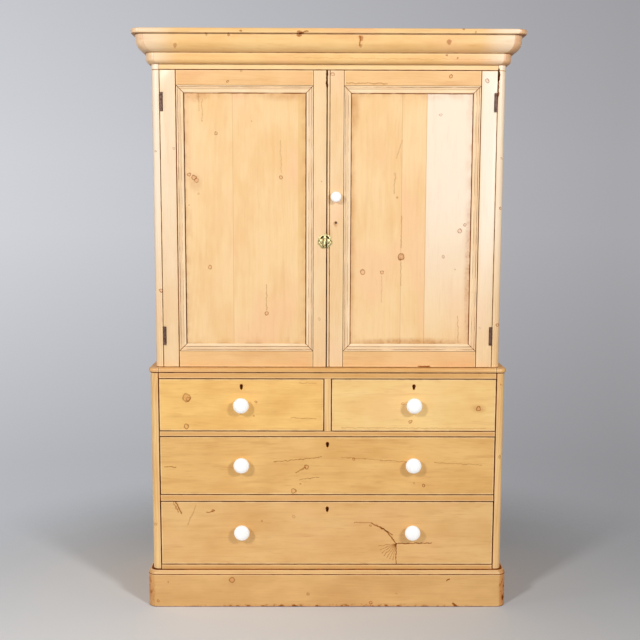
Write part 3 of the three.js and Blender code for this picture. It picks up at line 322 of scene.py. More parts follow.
def pine(name, along, tones, pith=(0.35, 0.12), spacing=0.0065, shift=0.0, rings=0.12, mottle=0.6,
         blush=0.6, streaks=0.5, side_shade=0.0, side_band=None, burnt=0.0, joints=(), knots=(), flank=(),
         cracks=(), keyhole=(), field=None, outline=None, lines=(), mitre=None, grime=(),
         face=CUPBOARD_FACE, worn_depth=0.016):
    """A waxed pine finish.

    Colour runs from pale to deep by a sum of ring, fibre and drift, each between 0 and 1. The
    ring value is the fraction of (distance from pith / spacing), raised near its end. Hard
    marks lie on the face only, the plane at y = face, unless face is None. The knots of the
    flank are given as (y, z, radius, strength) and lie everywhere else. Lines are given as
    (axis, level, width, strength), and grime as (middle, reach, stain, dirt), all in metres.
    """
    f = Finish(name)
    place = f.place()
    x, y, z = f.split(place)
    across = x if along == "z" else z
    patchy = f.noise(place, 26, (2, shift, 0), 3).rise(0.38, 0.66)
    front = 1.0 if face is None else (y - face).rise(worn_depth, worn_depth * 0.4)

    # Glued boards: each joint adds a step, which moves the rings and the colour of the next board
    flat = shaken(f, place)
    step, hard = 0.0, crack_marks(f, flat, cracks) * 0.75
    for joint, dark in joints:
        step = (across > joint) + step
        hard = abs(across - joint).rise(0.0016, 0.0004) * dark + hard
    moved = f.vector("ADD", place, step * 1.73) if joints else place

    marks = knot_marks(f, flat, knots)
    if flank:
        turned = f.node("ShaderNodeCombineXYZ", None, {"X": y, "Z": z})
        sides = knot_marks(f, shaken(f, turned), flank)
        marks = (side * (1 - front) + mark for side, mark in zip(sides, marks))
    rim, heart, swell = marks

    def grain(scale, lengthwise, start, detail=3, output="Fac"):
        return f.noise(moved, drawn_out(along, scale, lengthwise), start, detail, output)

    # Growth rings round the pith, bent by slow noise and pushed aside by the knots
    bent = f.vector("MULTIPLY_ADD", grain(7, 1.3, (shift, 0.3, 0.7), 2, "Color"), (0.1, 0.1, 0.1), place)
    radial = f.vector("SUBTRACT", bent, (pith[0], pith[1], pith[0]))
    far = f.vector("LENGTH", f.vector("MULTIPLY", radial, drawn_out(along, 1, 0)))
    ring = ((far + swell) / spacing + step * 0.37).fraction()
    late = ring.rise(0.15, 0.8) * ring.rise(1.0, 0.82)

    fibre = grain(420, 8, (0, shift, 0))
    drift = grain(9, 4.5, (0, 0, shift))
    cloud = grain(30, 12, (shift, 2, 0))
    pink = grain(5, 3, (shift, 4, 2), 2).rise(0.5, 0.68)
    fleck = grain(180, 18, (5, shift, 1), 2).rise(0.56, 0.8)
    streak = grain(60, 6, (1, shift, 5)).rise(0.5, 0.8)

    amount = late * rings + (fibre - 0.5) * 0.42 + drift.rise(0.3, 0.72) * 0.45 + (cloud - 0.5) * mottle
    colour = f.blend(amount, *tones)
    colour = f.blend(pink * blush, colour, tuple(PEACH * tones[0]))
    # The side band: near the sides and high up, a pale painted sheen and highlight, partly a paled board; on
    # the left panel a darker tan band
    if side_band:
        low, high, band_tone, strength, left = side_band
        strength = (x.rise(-0.3, 0.3) * (1 - left) + left) * strength
        colour = f.blend(abs(x).rise(low, high) * z.rise(0.85, 1.5) * strength * front, colour, band_tone)
    if burnt:
        rim, heart = rim * front, heart * front
        core = f.noise(place, 400, (shift, 0, 0), 2).rise(0.45, 0.6)
        rim = rim * (1 - burnt) + heart * heart * (core * 0.5)
    colour = f.blend(heart * burnt, f.blend(heart * 0.5, colour, HEART), RUST)

    # Soft stains, hard dark lines that are partly painted shade in gaps, and a paler band beside edges and
    # seams that is a painted highlight
    soft, edge_highlight, tails = fleck * (streaks * 0.3) + streak * (streaks * 0.34), 0.0, 0.0
    # Side shade: the flanks painted darker, more on the right, where less light falls
    if side_shade:
        soft = soft + (1 - front) * (x.rise(-0.1, 0.1) + 0.4) * side_shade
    # The keyhole is painted dark beyond its bore: painted shade of the opening
    if keyhole:
        hard = hard + crack_marks(f, f.vector("MULTIPLY", place, (1, 0, 1)), keyhole)
    # The field: dirt along the panel's edges, and a dark line at the very edge that is partly painted shade
    if field:
        from_side, from_end = insets(x, z, field)
        inset = from_side.least(from_end)
        soft = soft + inset.rise(0.03, 0.0) * (patchy * 0.22 + 0.06) * front
        hard = hard + inset.rise(0.0016, 0.0004) * (patchy * 0.3 + 0.05)
    # The outline: a soft darker band inside a drawer front's edges, a painted highlight band, and a dark
    # seam at the edge that is painted shade of the gap
    if outline:
        from_side, from_end = insets(x, z, outline)
        inset = from_side.least(from_end)
        soft = soft + inset.rise(0.012, 0.0) * patchy * 0.25
        edge_highlight = inset.rise(0.0065, 0.003) * 0.5
        hard = hard + inset.rise(0.0017, 0.0007) * (patchy * 0.4 + 0.7)
        tails = dovetails(y - face, z) * (from_side < 0.0004) * 0.8
    # Lines: dark seams, partly joints and partly painted shade in gaps and creases, each with a painted
    # highlight beside it
    where = {"x": x, "z": z, "width": abs(x)}
    for axis, level, width, strength in lines:
        apart = abs(where[axis] - level)
        hard = hard + apart.rise(width, width * 0.3) * (patchy * 0.5 + 0.7) * strength
        edge_highlight = apart.rise(0.0055, 0.003) * 0.4 + edge_highlight
    # Past the mitre the return is painted darker, more on the right: painted shade of the corner turning
    # from the light
    if mitre:
        half, corner = mitre
        past, beside = abs(x) - half + y - corner, abs(x) > half
        hard = hard + abs(past).rise(0.0016, 0.0003) * beside * 0.14
        soft = soft + past.rise(0.0, 0.002) * beside * (x.rise(-0.1, 0.1) * 0.4 + 0.2)
    if grime:
        worn = f.noise(place, 75, (shift, 1, 3), 5)
    for at, reach, light, dark in grime:
        near = f.vector("DIVIDE", f.vector("SUBTRACT", place, at), reach)
        near = f.vector("LENGTH", near).rise(1.0, 0.25)
        soft = near * (worn + 0.3) * light + soft
        hard = near * worn.rise(0.48, 0.68) * dark + hard
    hard = hard * front + rim * 0.52 + tails

    colour = darkened(f, f.blend(edge_highlight, colour, EDGE_HIGHLIGHT), soft, hard)
    rough = (drift - 0.5) * 0.1 + fibre * 0.1 + soft * 0.12 + hard * 0.6 + 0.34
    return waxed(f, colour, rough, (fibre - 0.5) * 0.4 - late * 0.2 - hard, 0.8 * front - hard * 2.5)

# %% [markdown]
# ## Which board has which finish
# The doors are the palest, the drawer fronts more golden and the plinth browner, darker towards
# the bottom. Knots and cracks are set where they sit on each board, in millimetres, with their
# size and strength; a few of the cracks are painted shade of gaps. The grain runs up the stiles,
# panels and sides, and across the rails, drawers and mouldings.

# %% Colours of the boards
STILE = tone(253, 219, 172), tone(240, 190, 126)
CROSS = tone(250, 204, 144), tone(232, 172, 106)
PANEL = tone(254, 216, 162), tone(242, 190, 122)
RAIL = tone(236, 184, 114), tone(214, 152, 80)
INSIDE = tone(214, 172, 120), tone(176, 126, 78)
# A pale tone for painted sheen and highlights, partly a paled board
SHEEN_AND_BLEACH = tone(255, 238, 216)
PANEL_BOARD = {"spacing": 0.008, "streaks": 0.3, "rings": 0.1, "face": PANEL_FACE, "worn_depth": 0.004}
# Side boards carry painted side shade on their flanks, more on the right
SIDE_BOARD = {"spacing": 0.009, "rings": 0.42, "mottle": 0.25, "side_shade": 0.3}
KEYHOLE_DROP = 27


def face_of(node):
    """The front rectangle of a node as (low x, high x, low z, high z)."""
    low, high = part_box(node)
    return low.x, high.x, low.z, high.z


def drawer_pine(drawer, tones, **marks):
    """The finish of a drawer front, with dark seams round it, painted shade of the gap, and its
    keyhole painted dark past the bore, painted shade of the opening, whose middle (x, z) is
    worked out in millimetres."""
    box = face_of(drawer + "_front")
    x, z = (box[0] + box[1]) * 500, box[3] * 1000 - KEYHOLE_DROP
    # Two dark segments, eye and slot, paint the keyhole larger than its bore: painted shade
    rim = [(x, z + 1.5, x, z + 3, 7.8, 1.1), (x, z - 6, x, z, 6, 1.1)]
    return pine(drawer + "_pine", "x", tones, outline=box, keyhole=rim, face=CHEST_FACE, worn_depth=0.005,
                **marks)

# %% Finishes of the doors
LEFT_FIELD = (-0.496, -0.079, 0.9525, 1.818)
RIGHT_FIELD = (0.08, 0.496, 0.9525, 1.818)
door_foot, door_head = face_of("left_door_hinge_stile")[2:]
left_edge, right_edge = face_of("left_door_meeting_stile")[1], face_of("right_door_hinge_stile")[1]
# Dark lines at the head and foot of the doors, with the moulding edge lines on stiles and rails: partly
# joints, partly painted shade of the gaps
DOOR_SEAMS = [("z", door_head, 0.0018, 0.5), ("z", door_foot, 0.0018, 0.5)]
# The side bands of the right panel and the stiles paint a pale sheen high up, partly a paled board; the left
# panel's is a darker tan band along its right edge
left_panel_pine = pine(
    "left_panel_pine", "z", PANEL, pith=(-0.29, 0.1), shift=3.1, joints=[(-0.331, 0.1)], field=LEFT_FIELD,
    **PANEL_BOARD, side_band=(0.107, 0.104, tone(238, 192, 122), 0.55, 1.0),
    knots=[(-388, 1682, 5, 0.6), (-483, 1543, 5, 0.75), (-465, 1532, 7.5, 0.6), (-457, 1522, 6.5, 0.45),
        (-165, 1534, 5.5, 0.65), (-265, 1725, 1.8, 0.7), (-436, 1725, 1.8, 0.7), (-450, 1475, 3, 0.4),
        (-413, 1222, 6, 0.55), (-216, 1058, 6, 0.65), (-485, 1438, 1.8, 0.7)],
    cracks=[(-436, 1800, -436, 1730, 2, 0.2), (-165, 1550, -165, 1660, 2.5, 0.16),
        (-216, 1070, -216, 1160, 2.5, 0.25), (-447, 1815, -446, 1760, 2, 0.18)],
    grime=[((-0.15, PANEL_FACE, 1.815), (0.12, 0.04, 0.03), 0.35, 0.0),
        ((-0.45, PANEL_FACE, 1.81), (0.06, 0.04, 0.03), 0.3, 0.1),
        ((-0.46, PANEL_FACE, 1.515), (0.03, 0.04, 0.045), 0.4, 0.0)])
right_panel_pine = pine(
    "right_panel_pine", "z", PANEL, pith=(0.19, 0.1), shift=8.4, joints=[(0.255, 0.12), (0.339, 0.14)],
    field=RIGHT_FIELD, **PANEL_BOARD, side_band=(0.339, 0.342, SHEEN_AND_BLEACH, 0.85, 1.0),
    knots=[(256, 1259, 10, 0.65), (121, 1206, 8, 0.55), (189, 1204.5, 5.5, 0.6), (404, 1259, 4.5, 0.5),
        (460, 1350, 6, 0.6), (477, 1371, 5, 0.6), (446, 1214, 2.2, 0.6), (386, 1748, 5, 0.35),
        (240, 1465, 2.8, 0.8)],
    cracks=[(254, 1660, 236, 1600, 3, 0.16), (232, 1550, 229, 1480, 3, 0.2),
        (256, 1290, 256, 1400, 2.5, 0.18), (189, 1190, 189, 1100, 2.5, 0.14),
        (256, 1240, 256, 1160, 2.5, 0.14), (458, 1050, 462, 955, 2.2, 0.25)],
    grime=[((0.09, PANEL_FACE, 1.76), (0.024, 0.04, 0.09), 0.5, 0.0),
        ((0.08, PANEL_FACE, 1.35), (0.02, 0.04, 0.5), 0.3, 0.0),
        ((0.49, PANEL_FACE, 1.2), (0.014, 0.04, 0.3), 0.3, 0.1),
        ((0.29, PANEL_FACE, 0.953), (0.25, 0.04, 0.025), 0.5, 0.12)])
upright_pine = pine(
    "upright_pine", "z", STILE, pith=(0.9, 0.25), shift=1.7, streaks=0.3,
    side_band=(0.5, 0.54, SHEEN_AND_BLEACH, 0.95, 0.42),
    knots=[(542, 1862, 5.5, 0.6), (14, 1883, 5.5, 0.5), (-532, 1630, 4, 0.35), (536, 1010, 3, 0.3),
        (-30, 1040, 4, 0.3), (-25, 1520, 1.8, 0.6)],
    # This crack is painted shade: the gap between the doors, dark and wider towards the top
    cracks=[(left_edge * 1000, 1840, left_edge * 1000, 1900, 3.8, 1.6)],
    lines=[*DOOR_SEAMS, ("x", left_edge, 0.0024, 0.9), ("width", right_edge, 0.0022, 0.5),
        ("x", 0.0052, 0.0016, 0.5), ("x", -0.5245, 0.002, 0.6), ("x", -0.052, 0.0016, 0.5),
        ("x", 0.053, 0.0016, 0.6), ("x", 0.5236, 0.0018, 0.7)],
    grime=[((0.0265, CUPBOARD_FACE, 1.374), (0.012, 0.05, 0.014), 0.5, 0.3),
        ((0.0, CUPBOARD_FACE, 1.335), (0.02, 0.05, 0.03), 0.45, 0.0)])
# The side band paints a pale highlight on the rounded front edges of the sides
side_pine = pine(
    "side_pine", "z", STILE, pith=(0.0, 0.03), shift=1.7, streaks=0.4, **SIDE_BOARD,
    side_band=(0.5, 0.54, SHEEN_AND_BLEACH, 0.6, 1.2),
    knots=[(-585, 1140, 5, 0.8), (598, 1430, 4, 0.7), (597, 1020, 6, 0.7), (-596, 1620, 3, 0.6),
        (600, 1600, 3, 0.6)],
    flank=[(100, 1720, 12, 0.8), (-80, 1310, 9, 0.7), (170, 1080, 14, 0.8), (-20, 960, 6, 0.6),
        (210, 1500, 7, 0.7)],
    # These two cracks are painted shade: the gap beside the right door, dark and wider towards the top
    cracks=[(581.5, 1805, 582, 1895, 2.2, 0.95), (581, 1865, 582, 1900, 4.2, 1.6)],
    lines=[*DOOR_SEAMS, ("width", right_edge, 0.0022, 0.5)])
left_rail_pine = pine(
    "left_rail_pine", "x", CROSS, pith=(1.7, 0.1), shift=5.2,
    lines=[*DOOR_SEAMS, ("x", -0.523, 0.0015, 0.6), ("x", -0.052, 0.0015, 0.6)], streaks=0.5,
    knots=[(-344, 1858, 3, 0.8), (-300, 1892, 3, 0.6)])
right_rail_pine = pine(
    "right_rail_pine", "x", CROSS, pith=(1.75, 0.14), shift=9.9,
    lines=[*DOOR_SEAMS, ("x", 0.053, 0.0015, 0.6), ("x", 0.523, 0.0015, 0.6)], streaks=0.6,
    knots=[(417, 1876, 5.5, 0.7)], cracks=[(60, 1853, 200, 1851, 3, 0.3), (320, 873, 360, 872, 3, 0.7)])
print("door finishes ready")

# %% [markdown]
# ### The chest
# Each drawer front is one wide board with marks of its own. Round every front runs a dark seam,
# painted shade of the gap, with a painted highlight inside it, and each keyhole is painted dark
# past its bore, painted shade of the opening. On the lowest front a branch once parted from the
# trunk: an arc of dark lines falls to a split, with a fan of finer lines below.

# %% Finishes of the drawers and cases
top_left_pine = drawer_pine(
    "top_left_drawer", (tone(255, 207, 126), tone(226, 164, 84)), pith=(0.55, 0.1), shift=2.3, blush=0.25,
    rings=0.06, streaks=0.8,
    knots=[(-498, 762, 13, 0.45), (-492, 757, 7, 0.45), (-501, 658, 8, 0.6), (-253, 746, 3.5, 0.8),
        (-262, 698, 2.5, 0.9)], cracks=[(-130, 690, -40, 688, 2, 0.3), (-100, 815, -40, 815, 2, 0.2)])
top_right_pine = drawer_pine(
    "top_right_drawer", (tone(255, 216, 146), tone(238, 184, 108)), pith=(0.85, 0.1), shift=6.6, blush=0.4,
    rings=0.06, streaks=0.6, knots=[(534, 724, 7, 0.7), (294, 676, 5.5, 0.65), (266, 742, 4, 0.45)],
    cracks=[(50, 655, 560, 652, 2.5, 0.16)],
    grime=[((0.534, CHEST_FACE, 0.724), (0.035, 0.04, 0.02), 0.5, 0.0)])
middle_pine = drawer_pine(
    "middle_drawer", (tone(242, 195, 122), tone(216, 156, 80)), pith=(0.5, 0.07), shift=4.5, blush=0.2,
    streaks=1.1, rings=0.08,
    knots=[(-74, 512, 7, 0.65), (-120, 424, 8, 0.6), (94, 542, 4.5, 0.7), (344, 444, 4.5, 0.8),
        (310, 452, 3.5, 0.5), (-95, 450, 2.5, 0.7)],
    cracks=[(-80, 510, -112, 490, 4, 0.35), (-190, 530, -20, 548, 2.5, 0.35),
        (-580, 512, -540, 511, 3, 0.4), (50, 547, 300, 530, 2, 0.3), (380, 528, 550, 520, 2, 0.3),
        (-100, 465, -30, 475, 2, 0.35)])
fan = [(249, 229, 249 + 62 * np.cos(a), 229 + 62 * np.sin(a), 2.2, 0.3)
       for a in np.radians([188, 201, 213, 225, 237, 249, 259])]
bottom_pine = drawer_pine(
    "bottom_drawer", (tone(238, 192, 126), tone(214, 156, 84)), pith=(0.02, 0.06), shift=7.7, blush=0.3,
    streaks=0.9, rings=0.06,
    knots=[(-538, 362, 6, 0.35), (-409, 351, 4, 0.6), (156, 296, 3, 0.7), (-120, 330, 5, 0.35),
        (-235, 313, 3, 0.7)],
    cracks=[(-542, 386, -522, 340, 4, 0.45), (-550, 383, -532, 345, 3, 0.3),
        (-470, 370, -500, 300, 3, 0.2), (-430, 345, -405, 352, 3, 0.5), (96, 308, 160, 306, 2.5, 0.35),
        (160, 306, 212, 277, 3.5, 0.5), (212, 277, 249, 229, 3.5, 0.6), (190, 292, 235, 262, 2.5, 0.5),
        (249, 229, 249, 155, 2.2, 0.7), (249, 229, 375, 232, 2.4, 0.65), *fan])
# The plinth's lines are dark seams at its top edge, under the chest and along the floor: partly joints,
# partly painted shade. Past the mitres its returns are painted darker, more on the right
plinth_pine = pine(
    "plinth_pine", "x", (tone(232, 184, 118), tone(204, 150, 86)), pith=(0.3, 0.1), shift=1.1, streaks=0.8,
    mitre=(0.6065, CHEST_FACE), blush=0.3, rings=0.08, face=None,
    lines=[("z", 0.1205, 0.0022, 0.75), ("z", 0.135, 0.0015, 0.7), ("z", 0.0, 0.004, 0.5)],
    knots=[(-342, 101, 9, 0.6), (-608, 22, 4.5, 0.8), (-70, 48, 4.5, 0.7), (159, 16, 4.5, 0.8),
        (-570, 93, 3, 0.7), (250, 48, 2, 0.6)],
    cracks=[(456, 12, 470, -2, 6, 0.7), (430, 98, 440, 103, 2.2, 0.7)],
    grime=[((0.644, -0.246, 0.06), (0.03, 0.06, 0.1), 0.8, 0.9),
        ((-0.65, -0.246, 0.06), (0.04, 0.06, 0.1), 0.8, 0.35),
        ((0.0, -0.246, 0.0), (0.7, 0.1, 0.014), 0.5, 0.5)])
# The lines of the case, the rails and the frieze below are dark seams beside the drawers, under the waist
# board and at the door heads: partly joints, partly painted shade in the gaps. Past the rail's mitre the
# return is painted darker
chest_inner = face_of("bottom_drawer_front")[1]
case_pine = pine(
    "case_pine", "z", (tone(252, 210, 146), tone(230, 174, 104)), pith=(0.0, 0.05), shift=2.9, streaks=0.6,
    blush=0.4, face=CHEST_FACE, **SIDE_BOARD,
    flank=[(120, 640, 12, 0.8), (-60, 400, 14, 0.8), (180, 250, 8, 0.7), (-120, 720, 6, 0.6)],
    lines=[("width", chest_inner + 0.0015, 0.0028, 0.8),
        ("width", face_of("drawer_divider")[1], 0.0022, 0.7), ("z", 0.852, 0.003, 0.7),
        ("z", 0.135, 0.0025, 0.6)], knots=[(614, 550, 4, 0.6), (-615, 300, 4, 0.5), (612, 810, 3, 0.6)])
SEAMS = [("z", level, 0.0016, 0.5) for level in (0.1515, 0.3865, 0.4095, 0.623, 0.6415, 0.831)]
SEAMS += [("z", 0.8523, 0.003, 0.9), ("width", chest_inner, 0.002, 0.5)]
rail_pine = pine(
    "rail_pine", "x", RAIL, pith=(0.75, 0.16), shift=3.7, streaks=0.5, blush=0.5, face=CHEST_FACE,
    mitre=(0.6265, CHEST_FACE), lines=SEAMS)
low_rail_pine = pine(
    "low_rail_pine", "x", RAIL, pith=(0.75, 0.16), shift=8.7, streaks=0.6, blush=0.3, face=CHEST_FACE,
    lines=SEAMS)
frieze_pine = pine(
    "frieze_pine", "x", (tone(255, 222, 164), tone(246, 196, 130)), pith=(0.55, 0.16), shift=1.9,
    streaks=0.4, blush=0.5, lines=[("z", 1.8975, 0.0018, 0.5)])
inside_pine = pine("inside_pine", "x", INSIDE, pith=(0.4, 0.3), shift=4.1, spacing=0.007, rings=0.3)
inside_upright_pine = pine(
    "inside_upright_pine", "z", INSIDE, pith=(0.2, 0.5), shift=6.3, spacing=0.007, rings=0.3)
inside_deep_pine = pine("inside_deep_pine", "y", INSIDE, pith=(0.4, 0.3), shift=0.9, rings=0.3)
print("wood finishes", sum(m.name.endswith("_pine") for m in bpy.data.materials))

# %% [markdown]
# ### The cornice
# The mouldings over the doors are mitred at the front corners, so a fine line shows where two
# lengths meet; past each mitre the return is painted darker, more on the right, painted shade,
# and the side band paints a pale highlight over the corners. The colour is the warmest of the
# press, and the seams between the three mouldings are dark lines that are partly painted shade
# under each overhang.

# %% Finish of the cornice
cornice_pine = pine(
    "cornice_pine", "x", (tone(252, 208, 142), tone(234, 174, 98)), pith=(2.1, 0.14), shift=5.9,
    streaks=0.7, mitre=(0.5775, CUPBOARD_FACE), side_band=(0.5, 0.6, SHEEN_AND_BLEACH, 0.55, 0.8), rings=0.14,
    blush=0.8, face=-0.27, worn_depth=0.1, burnt=0.7,
    lines=[("z", 1.9507, 0.002, 0.2), ("z", 2.0085, 0.0018, 0.2)],
    knots=[(-517, 1970, 6, 0.5), (-100, 2008, 7.5, 1.0), (-295, 2014, 3.5, 0.9), (-338, 2004, 3.5, 0.8),
        (-411, 2005, 3, 0.7), (107, 1995, 7.5, 0.7), (403, 1983, 7.5, 0.7), (106, 1970, 5, 0.45),
        (400, 1945, 3.5, 0.8), (450, 2022, 3.5, 0.7), (490, 2013, 3, 0.7), (437, 1935, 3.5, 0.7)],
    cracks=[(-100, 2010, -70, 2014, 3.5, 0.5), (-120, 1935, 550, 1930, 2, 0.12),
        (103, 2000, 104, 1970, 3, 0.4)])

# %% [markdown]
# ## Glaze, brass and iron
# The knobs are white glazed ware: a bright smooth coat over a body that isn't quite even, with a
# faint glow of its own that is painted light. The catch is cast brass, gold on what hands rub and
# olive brown in the hollows, where an attribute of the mesh says how deep the relief lies; the
# deepest, the eyes and bores, go near black, painted shade of openings that are only dented. The
# hinges are iron that has browned.

# %% Finishes that aren't wood
def glazed():
    """White glaze: nearly even colour, very smooth, with a slow swell of the surface, and a faint
    white glow that is painted light, which keeps the shaded side of a knob white.
    """
    f = Finish("white_glaze")
    cloud, swell = f.noise(f.place(), 40), f.noise(f.place(), 90, detail=1)
    colour = f.blend(cloud.rise(0.35, 0.7), tone(252, 252, 251), tone(247, 248, 246))
    # The faint white emission is painted light: a glow that keeps the shaded side of each knob white
    return f.shade(Base_Color=colour, Roughness=cloud * 0.06 + 0.08, Emission_Color=(1, 1, 1, 1),
                   Emission_Strength=0.13, Normal=f.bump(swell, 0.0006, 0.25))


def cast_brass():
    """Brass: metal worn bright on the heights and dull tarnish in the hollows, by the hollow attribute.
    The deepest hollows go near black: patina in the grooves, painted shade in the dented eyes and bores.
    """
    f = Finish("aged_brass")
    hollow = f.node("ShaderNodeAttribute", {"attribute_name": "hollow"}, output="Fac")
    mottle = f.noise(f.place(), 260, detail=3)
    dull = (hollow * 1.4 + (mottle - 0.5) * 0.9 - 0.04).most(0.0).least(1.0)
    colour = f.blend(dull, tone(244, 226, 168), tone(124, 106, 40))
    # Near black in the deepest hollows: patina in the grooves, and painted shade in the eyes and bores,
    # which are only dented
    colour = f.blend(hollow.rise(0.75, 1.0), colour, tone(46, 30, 10))
    return f.shade(Base_Color=colour, Metallic=1.0 - dull * 0.5, Roughness=dull * 0.25 + 0.42,
                   Normal=f.bump(mottle, 0.0005, 0.4))


def browned_iron():
    """Iron: dark brown-grey with patches of rust and polish worn off the knuckles."""
    f = Finish("browned_iron")
    patch, grit = f.noise(f.place(), 120, detail=4), f.noise(f.place(), 900)
    colour = f.blend(patch.rise(0.35, 0.65), tone(126, 98, 86), tone(84, 54, 42))
    return f.shade(Base_Color=colour, Metallic=0.55, Roughness=patch * 0.25 + 0.38,
                   Normal=f.bump(grit * 0.5 + patch, 0.0004, 0.5))


white_glaze, aged_brass, iron_finish = glazed(), cast_brass(), browned_iron()
print("other finishes", white_glaze.name, aged_brass.name, iron_finish.name)

# %% [markdown]
# ## Planed boards
# A joiner takes the sharp edge off every board with a plane. The CAD boards have perfect
# corners, which catch no light. The bevel could be cut into the CAD model, but it is a matter
# of looks. So each board is copied, its loose triangles are merged and joined into whole faces,
# and a Bevel modifier eases the edges by less than a millimetre.

# %% Copy and ease the boards
def finished(name, mesh, finish, node, angle=35):
    """An object for the mesh that rides on the node's body and stands for that node."""
    piece = added(name, mesh)
    mesh.materials.append(finish)
    mesh.polygons.foreach_set("use_smooth", np.ones(len(mesh.polygons), bool))
    mesh.set_sharp_from_angle(angle=np.radians(angle))
    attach(piece, body_of[node])
    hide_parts(node)
    return piece


def planed(node, finish, ease=0.0007):
    """The board of a CAD node, merged, with its flat faces joined and its edges eased."""
    shape = bmesh.new()
    shape.from_mesh(frame["nodes"][node].data)
    bmesh.ops.remove_doubles(shape, verts=shape.verts, dist=1e-5)
    bmesh.ops.dissolve_limit(shape, angle_limit=np.radians(0.5), verts=shape.verts, edges=shape.edges)
    mesh = bpy.data.meshes.new(node + "_board")
    shape.to_mesh(mesh)
    shape.free()
    bevel = finished(node + "_board", mesh, finish, node).modifiers.new("eased edges", "BEVEL")
    bevel.width, bevel.segments, bevel.limit_method, bevel.angle_limit = ease, 2, "ANGLE", np.radians(40)
    bevel.use_clamp_overlap, bevel.harden_normals = False, True

# %% [markdown]
# ### Every board and its finish
# One table says which finish each board takes. A board keeps its place, its joints and its
# holes, and only its edges change.

# %% Plane the boards
boards = {
    upright_pine: ["left_door_hinge_stile", "left_door_meeting_stile", "right_door_hinge_stile"],
    side_pine: ["upper_side_left", "upper_side_right"],
    left_rail_pine: ["left_door_top_rail", "left_door_bottom_rail"],
    right_rail_pine: ["right_door_top_rail", "right_door_bottom_rail"],
    left_panel_pine: ["left_door_panel"], right_panel_pine: ["right_door_panel"],
    top_left_pine: ["top_left_drawer_front"], top_right_pine: ["top_right_drawer_front"],
    middle_pine: ["middle_drawer_front"], bottom_pine: ["bottom_drawer_front"],
    case_pine: ["lower_side_left", "lower_side_right", "drawer_divider"],
    rail_pine: ["chest_top_rail"], frieze_pine: ["frieze_rail"],
    low_rail_pine: ["upper_drawer_frame", "lower_drawer_frame", "chest_bottom"],
    inside_pine: ["shelf_1", "shelf_2", "upper_bottom", "upper_top"],
    inside_upright_pine: ["upper_back", "lower_back"],
    inside_deep_pine: [node for node in body_of if node.endswith("_drawer_box")],
}
for finish, nodes in boards.items():
    for node in nodes:
        planed(node, finish)
print("planed boards", sum(len(nodes) for nodes in boards.values()))

# %% [markdown]
# ## Surfaces from arrays
# The rest is made from formulas. A surface is a grid of points worked out with numpy, a row for
# each step one way and a column for each step the other. One function turns any such grid into
# a closed mesh: it can join the last row or column to the first, and cap open ends. Shapes that
# come back often have a short word each: a section pushed straight, a profile turned on a
# lathe, a smooth curve through points, and an arc.

# %% Grids into meshes
def skin(name, grid, join_rows=False, join_columns=False, cap_rows=False, hollow=None, cut=None):
    """A mesh over a grid of points (rows, columns, 3): quads between neighbours, n-sided caps.

    Hollow is kept as a value of every point, for the brass. A cut (x, side) takes away what
    lies on that side of an upright plane and closes the opening.
    """
    rows, columns = grid.shape[:2]
    index = np.arange(rows * columns).reshape(rows, columns)
    caps = [index[0].tolist()[::-1], index[-1].tolist()] if cap_rows else []
    if join_rows:
        index = np.vstack([index, index[:1]])
    if join_columns:
        index = np.hstack([index, index[:, :1]])
    quads = np.stack([index[:-1, :-1], index[:-1, 1:], index[1:, 1:], index[1:, :-1]], axis=-1)
    mesh = bpy.data.meshes.new(name)
    mesh.from_pydata(grid.reshape(-1, 3).tolist(), [], quads.reshape(-1, 4).tolist() + caps)
    if hollow is not None:
        values = np.full(rows * columns, hollow)
        mesh.attributes.new("hollow", "FLOAT", "POINT").data.foreach_set("value", values)
    shape = bmesh.new()
    shape.from_mesh(mesh)
    bmesh.ops.remove_doubles(shape, verts=shape.verts, dist=1e-6)
    if cut:
        everything = [*shape.verts, *shape.edges, *shape.faces]
        bmesh.ops.bisect_plane(shape, geom=everything, plane_co=(cut[0], 0, 0), plane_no=(cut[1], 0, 0),
                               clear_outer=True, dist=2e-6)
        bmesh.ops.holes_fill(shape, edges=shape.edges)
        bmesh.ops.dissolve_degenerate(shape, edges=shape.edges, dist=1e-6)
    bmesh.ops.recalc_face_normals(shape, faces=shape.faces)
    shape.to_mesh(mesh)
    shape.free()
    return mesh


def pushed(name, section, ends, upright=False, hollow=None):
    """A closed section of points pushed straight along x, or up z if upright, and capped."""
    along = np.repeat(np.reshape(ends, (2, 1, 1)), len(section), axis=1)
    across = np.stack([section, section])
    grid = np.dstack([across, along] if upright else [along, across])
    return skin(name, grid, join_columns=True, cap_rows=True, hollow=hollow)


def turned(name, profile, middle, axis, sides=32, hollow=None):
    """A profile of (radius, distance along an axis) turned round that axis at middle: the other
    two coordinates are the radius times the cosine and the sine of the angle."""
    radius, along = np.asarray(profile, float).T
    angle = np.linspace(0, 2 * np.pi, sides, endpoint=False)[:, None]
    parts = [radius * np.cos(angle), radius * np.sin(angle)]
    parts.insert(ALONG[axis], np.broadcast_to(along, parts[0].shape))
    return skin(name, np.stack(parts, axis=2) + middle, join_rows=True, hollow=hollow)


def flowing(points, steps):
    """A smooth curve through the points: between two of them, the cubic whose slope at each is
    half the step from the point before to the point after."""
    p = np.asarray(points, float)
    p = np.vstack([2 * p[0] - p[1], p, 2 * p[-1] - p[-2]])
    t = (np.arange(steps) / steps)[None, :, None]
    before, start, end, after = (p[k:len(p) - 3 + k, None] for k in range(4))
    curve = start + t * (end - before) / 2 + t**2 * (before - 2.5 * start + 2 * end - after / 2) \
        + t**3 * (1.5 * (start - end) + (after - before) / 2)
    return np.vstack([curve.reshape(-1, p.shape[1]), p[-2]])


def quarter(centre, radii, start, end, steps=12):
    """Points on an arc: centre plus the radii times (cosine, sine), from start to end in degrees."""
    angle = np.radians(np.linspace(start, end, steps + 1))
    return np.array(centre) + np.stack([np.cos(angle), np.sin(angle)], axis=1) * radii

